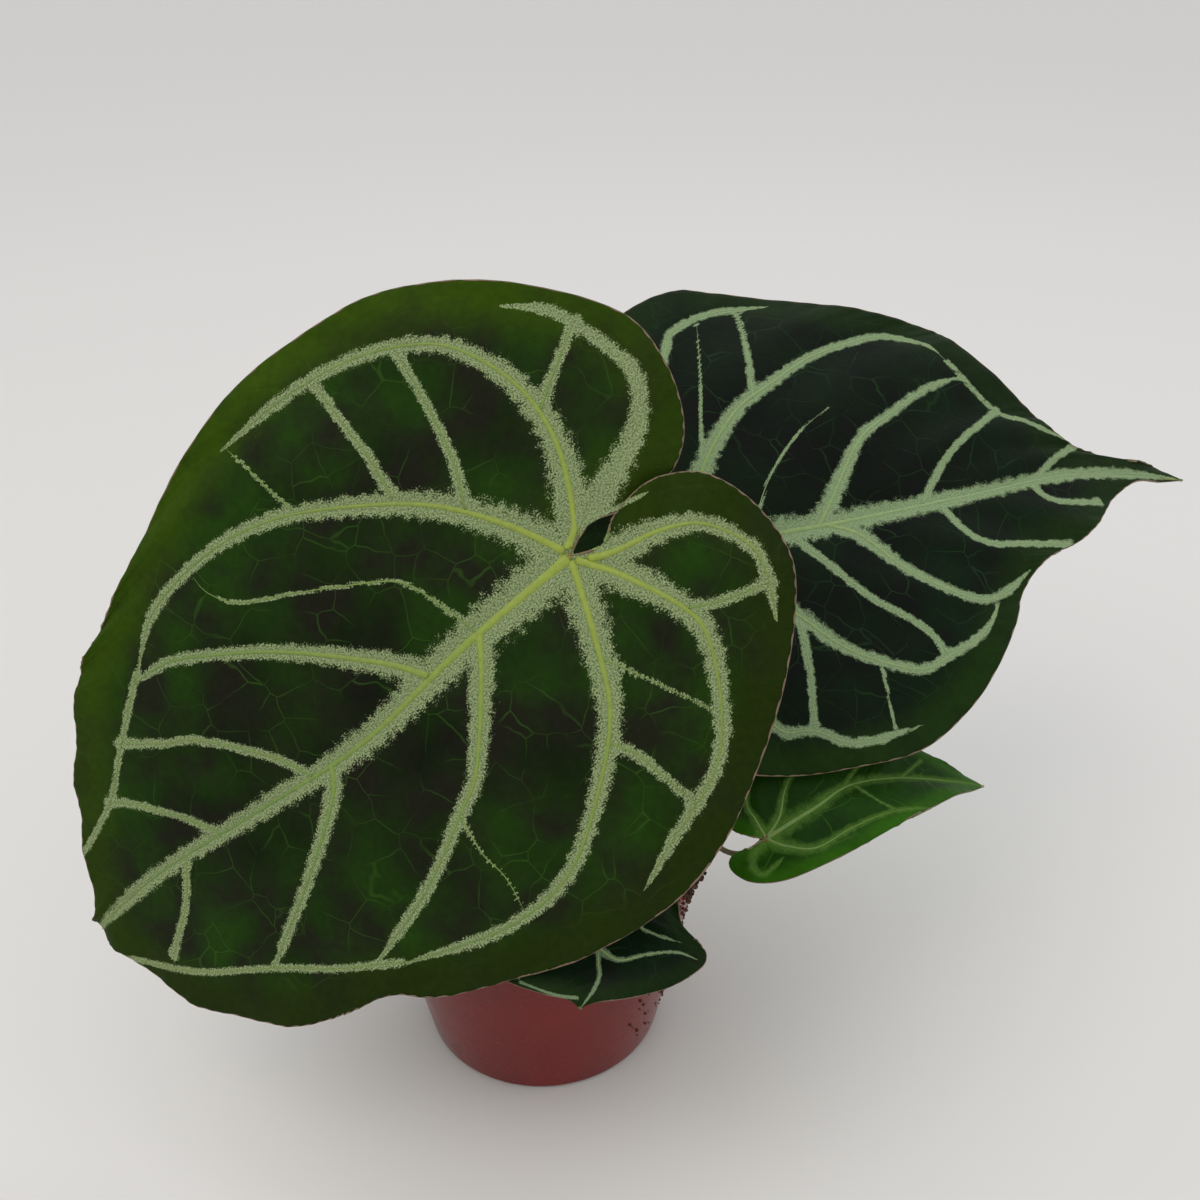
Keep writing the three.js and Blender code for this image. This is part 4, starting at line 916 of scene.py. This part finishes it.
def velvet(name, look):
    """Upper face of domed velvet cells with frosted veins, paler lower face, by one leaf's own colours."""
    material, tree, shader = new_material(
        name, IOR=1.42, Specular_IOR_Level=look["shine"], Sheen_Weight=look["sheen"], Sheen_Roughness=0.5,
        Sheen_Tint=linear("#8fa070"),
    )
    place = node(tree, "UVMap", {}, uv_map="flattened").outputs[0]
    frost = node(tree, "Attribute", {}, attribute_name="frost").outputs["Fac"]
    rim = node(tree, "Attribute", {}, attribute_name="rim").outputs["Fac"]
    upper = node(tree, "Attribute", {}, attribute_name="upper").outputs["Fac"]
    # Broad clouds of lighter and darker tissue, some 30 mm across, lighter towards the margin
    cloud = node(tree, "TexNoise", {"Vector": place, "Scale": 34.0, "Detail": 2.0}).outputs[0]
    cloud = node(tree, "MapRange", {"Value": cloud, "From Min": 0.36, "From Max": 0.66}).outputs[0]
    outer = node(
        tree, "MapRange", {"Value": rim, "From Min": 12.0, "From Max": 62.0, "To Min": 0.65, "To Max": 0.0}
    ).outputs[0]
    cloud = node(tree, "Math", {0: cloud, 1: 0.55, 2: outer}, operation="MULTIPLY_ADD").outputs[0]
    colour = node(
        tree, "Mix", {0: cloud, 6: linear(look["dark"]), 7: linear(look["light"])}, data_type="RGBA"
    ).outputs[2]
    # Brownish patches of 18 mm, then a mottle of 2 to 3 mm
    warm = node(
        tree, "TexNoise", {"Vector": place, "Scale": 55.0, "Detail": 3.0, "W": 4.0}, noise_dimensions="4D"
    ).outputs[0]
    warm = node(
        tree, "MapRange", {"Value": warm, "From Min": 0.42, "From Max": 0.62, "To Max": 0.8}
    ).outputs[0]
    colour = node(tree, "Mix", {0: warm, 6: colour, 7: linear(look["warm"])}, data_type="RGBA").outputs[2]
    mottle = node(tree, "TexNoise", {"Vector": place, "Scale": 420.0, "Detail": 3.0}).outputs[0]
    mottle = node(tree, "MapRange", {"Value": mottle, "To Min": 0.72, "To Max": 1.28}).outputs[0]
    colour = node(
        tree, "Mix", {0: 1.0, 6: colour, 7: mottle}, data_type="RGBA", blend_type="MULTIPLY"
    ).outputs[2]
    # The finest veins close into a net of uneven cells about 13 mm wide, clear in some places only
    drift = node(tree, "TexNoise", {"Vector": place, "Scale": 90.0, "Detail": 2.0}).outputs[1]
    shifted = node(tree, "Mix", {0: 0.004, 4: place, 5: drift}, data_type="VECTOR").outputs[1]
    net = node(
        tree, "TexVoronoi", {"Vector": shifted, "Scale": 78.0}, feature="DISTANCE_TO_EDGE"
    ).outputs[0]
    net = node(
        tree, "MapRange", {"Value": net, "From Min": 0.006, "From Max": 0.016, "To Min": 1.0, "To Max": 0.0}
    ).outputs[0]
    some = node(tree, "TexNoise", {"Vector": place, "Scale": 60.0, "Detail": 1.0}).outputs[0]
    some = node(
        tree, "MapRange", {"Value": some, "From Min": 0.4, "From Max": 0.62, "To Max": 0.5}
    ).outputs[0]
    lines = node(tree, "Math", {0: net, 1: some}, operation="MULTIPLY").outputs[0]
    colour = node(tree, "Mix", {0: lines, 6: colour, 7: linear(look["net"])}, data_type="RGBA").outputs[2]
    # Past the outer veins a band along the margin is more olive, with painted light making one half brighter
    clear = node(tree, "Math", {0: warm, 1: -0.45, 2: 1.0}, operation="MULTIPLY_ADD").outputs[0]
    edges = {"Value": rim, "From Min": look["band"] * 0.3, "From Max": look["band"] * 1.3}
    edges |= {"To Min": clear, "To Max": 0.0}
    band = node(tree, "MapRange", edges, interpolation_type="SMOOTHSTEP").outputs[0]
    # Painted light: the margin band on one half of the leaf, the side where light falls, takes the lighter
    # colour
    half = node(tree, "SeparateXYZ", {"Vector": place}).outputs[1]
    half = node(tree, "MapRange", {"Value": half, "From Min": 0.03, "From Max": -0.09}).outputs[0]
    margin = node(
        tree, "Mix", {0: half, 6: linear(look["margin"]), 7: linear(look["lit_margin"])}, data_type="RGBA"
    ).outputs[2]
    margin = node(
        tree, "Mix", {0: 1.0, 6: margin, 7: mottle}, data_type="RGBA", blend_type="MULTIPLY"
    ).outputs[2]
    colour = node(tree, "Mix", {0: band, 6: colour, 7: margin}, data_type="RGBA").outputs[2]
    # The frost ends in a ragged fringe of grains under a millimetre across
    fringe = node(tree, "TexNoise", {"Vector": place, "Scale": 2000.0, "Detail": 2.0}).outputs[0]
    clumps = node(tree, "TexNoise", {"Vector": place, "Scale": 380.0, "Detail": 2.0}).outputs[0]
    ragged = node(
        tree, "Math", {0: fringe, 1: look["fringe"], 2: frost}, operation="MULTIPLY_ADD"
    ).outputs[0]
    ragged = node(tree, "Math", {0: clumps, 1: 1.1, 2: ragged}, operation="MULTIPLY_ADD").outputs[0]
    level = 0.5 * look["fringe"] + 0.55 + look["start"]
    steps = {"Value": ragged, "From Min": level - look["soft"], "From Max": level + look["soft"]}
    frosted = node(tree, "MapRange", steps).outputs[0]
    grain = node(tree, "MapRange", {"Value": fringe, "From Min": 0.38, "From Max": 0.62}).outputs[0]
    silver = node(
        tree, "Mix", {0: grain, 6: linear(look["silver_low"]), 7: linear(look["silver"])}, data_type="RGBA"
    ).outputs[2]
    amount = node(tree, "Math", {0: frosted, 1: look["frost"]}, operation="MULTIPLY").outputs[0]
    colour = node(tree, "Mix", {0: amount, 6: colour, 7: silver}, data_type="RGBA").outputs[2]
    # The lower face is smooth and pale, with paler ribs
    below = node(
        tree, "Mix", {0: cloud, 6: linear("#55683a"), 7: linear("#74854f")}, data_type="RGBA"
    ).outputs[2]
    below = node(tree, "Mix", {0: net, 6: below, 7: linear("#93a06a")}, data_type="RGBA").outputs[2]
    ribs = node(
        tree, "MapRange", {"Value": frost, "From Min": 0.3, "From Max": 0.9, "To Max": 0.6}
    ).outputs[0]
    below = node(tree, "Mix", {0: ribs, 6: below, 7: linear("#a3ad74")}, data_type="RGBA").outputs[2]
    colour = node(tree, "Mix", {0: upper, 6: below, 7: colour}, data_type="RGBA").outputs[2]
    tree.links.new(colour, shader.inputs["Base Color"])
    rough = node(tree, "MapRange", {"Value": frosted, "To Min": look["rough"], "To Max": 0.72}).outputs[0]
    tree.links.new(rough, shader.inputs["Roughness"])
    height = node(tree, "Math", {0: fringe, 1: 0.5, 2: clumps}, operation="MULTIPLY_ADD").outputs[0]
    height = node(tree, "Math", {0: net, 1: -0.5, 2: height}, operation="MULTIPLY_ADD").outputs[0]
    bump = node(tree, "Bump", {"Height": height, "Strength": 0.35, "Distance": 0.0004})
    tree.links.new(bump.outputs[0], shader.inputs["Normal"])
    return material


def vein_cord(name, near, far, rough):
    # Smooth waxy rib tissue, bright at the joint and duller towards the margin
    material, tree, shader = new_material(name, Roughness=rough, IOR=1.42)
    reach = node(tree, "Attribute", {}, attribute_name="reach").outputs["Fac"]
    place = node(tree, "TexCoord", {}).outputs["Object"]
    streak = node(tree, "TexNoise", {"Vector": place, "Scale": 700.0, "Detail": 2.0}).outputs[0]
    streak = node(tree, "MapRange", {"Value": streak, "To Min": 0.75, "To Max": 1.2}).outputs[0]
    colour = node(tree, "Mix", {0: reach, 6: linear(near), 7: linear(far)}, data_type="RGBA").outputs[2]
    colour = node(
        tree, "Mix", {0: 1.0, 6: colour, 7: streak}, data_type="RGBA", blend_type="MULTIPLY"
    ).outputs[2]
    tree.links.new(colour, shader.inputs["Base Color"])
    return material


def plain_tissue(name, code, other, rough, scale):
    # Dry corky tissue without wax, clouded between two colours
    material, tree, shader = new_material(name, Roughness=rough, IOR=1.42)
    place = node(tree, "TexCoord", {}).outputs["Object"]
    cloud = node(tree, "TexNoise", {"Vector": place, "Scale": scale, "Detail": 3.0}).outputs[0]
    colour = node(tree, "Mix", {0: cloud, 6: linear(code), 7: linear(other)}, data_type="RGBA").outputs[2]
    tree.links.new(colour, shader.inputs["Base Color"])
    return material


edge_colour = plain_tissue("horny_leaf_edge", "#4e3d2c", "#86705a", 0.55, 90.0)
# Each leaf's own colours and the reach of its frost. A later leaf repeats what it shares with the first.
# The margin band's lighter colour, on one half of each leaf, is painted light
velvet_look = {
    "dark": "#0c1307", "light": "#1d370a", "warm": "#1b1813", "net": "#30501a", "margin": "#1d2a05",
    "lit_margin": "#2f4605", "silver": "#93a275", "silver_low": "#5e6d48", "band": 15.0, "fringe": 1.35,
    "soft": 0.16, "start": 0.22, "frost": 0.95, "rough": 0.58, "sheen": 0.02, "shine": 0.05,
}
dark_look = dict(
    velvet_look, dark="#040a05", light="#091b08", warm="#0a0d09", net="#1f3d1c", margin="#112405",
    lit_margin="#182f06", silver="#8fa278", silver_low="#6b8360", fringe=0.8, soft=0.2, rough=0.42, band=13.0,
    shine=0.08,
)
young_look = dict(
    velvet_look, dark="#0b1c04", light="#193a05", warm="#132c04", net="#37601a", margin="#275204",
    lit_margin="#2d5c06", silver="#567832", silver_low="#466724", fringe=0.3, soft=0.45, start=0.35, frost=0.75,
    rough=0.42, band=5.0, shine=0.07,
)
low_look = dict(dark_look, silver="#7f9270", frost=0.75, band=5.0)
cord_bright = vein_cord("bright_vein_cord", "#8b9b3a", "#64803c", 0.5)
cord_pale = vein_cord("pale_vein_cord", "#7f9650", "#869b70", 0.48)
cord_young = vein_cord("young_vein_cord", "#66803a", "#557a34", 0.45)
# Rows of faces across a half, skin, cord, slot, and the widths of frost and cords against VEIN_SIZES
LOOKS = {
    "1": (64, velvet("velvet_upper_skin", velvet_look), cord_bright, "velvet_leaf", 1.0, 1.0),
    "2": (62, velvet("dark_silky_skin", dark_look), cord_pale, "dark_leaf", 0.9, 0.75),
    "3": (44, velvet("young_smooth_skin", young_look), cord_young, "young_leaf", 0.5, 0.5),
    "4": (44, velvet("low_leaf_skin", low_look), cord_pale, "dark_leaf", 0.26, 0.35),
}
for leaf in LEAVES:
    rows, finish, cord, slot, band, scale = LOOKS[leaf["name"]]
    face = leaf_blade(leaf, rows, finish, slot, band)
    leaf_veins(leaf, face, cord, slot, scale)
    leaf_edge(leaf, face, edge_colour, slot, 0.3 if band > 0.5 else 0.25)

# Leaf stalks
# Round, waxy and green, each rises from the crown in its own curve. Under the blade it swells into a knee
# that turns the blade to the light, and there it is a little browner.
STALK_SIDES = 20


def through(points, count):
    """A centripetal curve through points, evenly spaced along its length."""
    points = [np.array(p, float) for p in points]
    points = [2 * points[0] - points[1]] + points + [2 * points[-1] - points[-2]]
    run = []
    for a, b, c, d in zip(points, points[1:], points[2:], points[3:]):
        before, here, after = (np.linalg.norm(q - p) ** 0.5 for p, q in ((a, b), (b, c), (c, d)))
        out = ((b - a) / before - (c - a) / (before + here) + (c - b) / here) * here
        back = ((c - b) / here - (d - b) / (here + after) + (d - c) / after) * here
        t = np.linspace(0, 1, 24, endpoint=False)[:, None]
        run.append(b + out * t + (3 * (c - b) - 2 * out - back) * t**2 + (2 * (b - c) + out + back) * t**3)
    run = np.vstack(run + [points[-2][None]])
    far = np.concatenate([[0], np.cumsum(np.linalg.norm(np.diff(run, axis=0), axis=1))])
    even = np.linspace(0, far[-1], count)
    return np.stack([np.interp(even, far, run[:, k]) for k in range(3)], axis=1), far[-1]


def leaf_stalk(leaf, finish):
    out = np.array(leaf["stalkFrom"]) / np.linalg.norm(leaf["stalkFrom"])
    head = np.array([0, 0, CROWN_HEAD_Z])
    foot = head + out * (CROWN_HEAD + 0.4)
    normal = leaf_axes(leaf)[2]
    joint = np.array(leaf["at"]) - normal * 0.5
    path, long = through([foot, foot + out * 6] + leaf["stalk"] + [joint], 70)
    t = np.linspace(0, 1, 70)
    low, high = leaf["stalkRadii"]
    knee = np.exp(-(((1 - t) * long - 6) ** 2) / 30)
    foot_swell = 0.9 * np.exp(-(t * long) / 5)
    radius = low + (0.78 * high - low) * np.minimum(1, t * 1.25) + 0.22 * high * knee + foot_swell
    # The foot widens into the sheath that clasps the crown
    path = np.vstack([head + out * 5.5, path])
    radius = np.concatenate([[low + 1.6], radius])
    ups = np.tile(np.cross(out, [0.3, 0.9, 0.1]), (len(path), 1))
    points, faces = sweep(path, ups, radius, radius, STALK_SIDES)
    shade = np.concatenate([[0], t * 0 + knee * 0.8 + 0.7 * np.exp(-t * long / 9)])
    shade = np.concatenate([np.repeat(shade, STALK_SIDES), shade[[0, -1]]])
    name, covered = "stalk_" + leaf["name"], "petiole_" + leaf["name"]
    return solid(name, points, faces, finish, "leaf_stalk", covered, values={"shade": shade})


def stalk_skin(name, green, pale, brown):
    # Waxy skin over soft tissue, with fine pale streaks along it and brown at the knee and foot
    material, tree, shader = new_material(name, Roughness=0.42, IOR=1.44, Coat_Weight=0.1)
    place = node(tree, "TexCoord", {}).outputs["Object"]
    long_place = node(tree, "Mapping", {"Vector": place, "Scale": (900.0, 900.0, 60.0)}).outputs[0]
    streak = node(tree, "TexNoise", {"Vector": long_place, "Scale": 1.0, "Detail": 3.0}).outputs[0]
    streak = node(tree, "MapRange", {"Value": streak, "From Min": 0.35, "From Max": 0.7}).outputs[0]
    colour = node(tree, "Mix", {0: streak, 6: linear(green), 7: linear(pale)}, data_type="RGBA").outputs[2]
    shade = node(tree, "Attribute", {}, attribute_name="shade").outputs["Fac"]
    colour = node(tree, "Mix", {0: shade, 6: colour, 7: linear(brown)}, data_type="RGBA").outputs[2]
    tree.links.new(colour, shader.inputs["Base Color"])
    bump = node(tree, "Bump", {"Height": streak, "Strength": 0.3, "Distance": 0.0002})
    tree.links.new(bump.outputs[0], shader.inputs["Normal"])
    return material


green_stalk = stalk_skin("waxy_green_stalk", "#3f5a22", "#5d7a34", "#5a4424")
# The low leaves' stalks take a browner copy, darkened as painted shade for their place under the big leaves
shade_darkened_stalk = stalk_skin("brown_stalk_painted_shade", "#3a3a20", "#55512c", "#6b3a1c")
for leaf in LEAVES:
    leaf_stalk(leaf, green_stalk if leaf["name"] in ("1", "2") else shade_darkened_stalk)

# Knots
# Where stalk, midrib and lobes meet, the joint hardens into a small brown boss on the upper face.
KNOTS = {"1": (1.5, 1.1), "2": (1.4, 1.1), "3": (1.6, 1.3), "4": (1.0, 0.8)}
for leaf in LEAVES:
    wide, high = KNOTS[leaf["name"]]
    shape, sides = lump(3, 1.0, 3.0)
    axes = leaf_axes(leaf)
    points = (shape * (wide * 1.3, wide, high)) @ axes + np.array(leaf["at"]) - axes[2] * 0.75 * high
    dark, pale = ("#7a8238", "#8a6a2e") if leaf["name"] in "12" else ("#5c3419", "#7e4a26")
    knot = plain_tissue("joint_cork_" + leaf["name"], dark, pale, 0.5, 300.0)
    solid("knot_" + leaf["name"], points, sides, knot, LOOKS[leaf["name"]][3])

# Stray crumbs
# Specks of damp mix cling to the pot's lip and wall where it was filled, most of them at its right side.
draw = np.random.default_rng(21)
places = []
for _ in range(120):
    a = math.radians(draw.normal(-16, 18))
    r = 59.4 + draw.uniform(-1.6, 0.3)
    at = np.array([r * math.cos(a), r * math.sin(a), 95.9])
    places.append((at, draw.uniform(0.3, 1.1) * draw.uniform(0.6, 1, 3), turned(draw), draw.uniform(0, 1)))
for _ in range(420):
    a = math.radians(draw.normal(-17, 13))
    z = 95 - 84 * draw.uniform(0, 1) ** 1.7
    r = (wall_radius(z * MM) if z < 81 else COLLAR_RADIUS) / MM
    at = np.array([r * math.cos(a), r * math.sin(a), z])
    places.append((at, draw.uniform(0.2, 1.0) * draw.uniform(0.5, 1, 3), turned(draw), draw.uniform(0, 1)))
# A damp clump hangs on the collar just under the lip
for _ in range(110):
    a = math.radians(draw.normal(-33, 4))
    r = COLLAR_RADIUS / MM + draw.uniform(0, 0.8)
    at = np.array([r * math.cos(a), r * math.sin(a), draw.uniform(80, 94)])
    places.append((at, draw.uniform(0.6, 1.5) * draw.uniform(0.5, 1, 3), turned(draw), draw.uniform(0, 1)))
strewn("stray_crumbs", crumb_shapes, places, bark_brown, "bark_mix")

# Studio
# A pale matt sweep, a broad soft light from above and a weaker one from the left, and the camera that
# looks 30 degrees down on the plant.
bpy.ops.mesh.primitive_plane_add(size=80, location=(0, 0, -0.0002))
floor = bpy.context.object
floor.name = "floor"
paper, tree, shader = new_material("pale_matt_floor", Roughness=0.9)
shader.inputs["Base Color"].default_value = linear("#d5d3d0")
floor.data.materials.append(paper)

LIGHTS = (
    ("window", (-0.6, -0.6, 1.35), 0.9, 5.0, "#fff6ea"),
    ("sky", (0.45, 0.6, 1.5), 1.2, 3.5, "#eef3ff"),
)
for name, place, size, power, colour in LIGHTS:
    lamp = bpy.data.lights.new(name, "AREA")
    lamp.size = size
    lamp.energy = power
    lamp.color = linear(colour)[:3]
    light = bpy.data.objects.new(name, lamp)
    bpy.context.collection.objects.link(light)
    light.location = place
    light.rotation_euler = (Vector((0.02, 0, 0.12)) - Vector(place)).to_track_quat("-Z", "Y").to_euler()
world = bpy.data.worlds.new("soft_room")
world.use_nodes = True
world.node_tree.nodes["Background"].inputs[0].default_value = linear("#f2f3f4")
world.node_tree.nodes["Background"].inputs[1].default_value = 1.0
bpy.context.scene.world = world
bpy.context.scene.view_settings.view_transform = "Standard"

lens = bpy.data.cameras.new("camera")
lens.lens = 38.6
lens.sensor_width = 36
lens.clip_start = 0.01
camera = bpy.data.objects.new("camera", lens)
bpy.context.collection.objects.link(camera)
camera.location = (0.0205, -0.3411, 0.367)
camera.rotation_euler = (math.radians(60), 0, 0)
bpy.context.scene.camera = camera

bpy.context.view_layer.update()
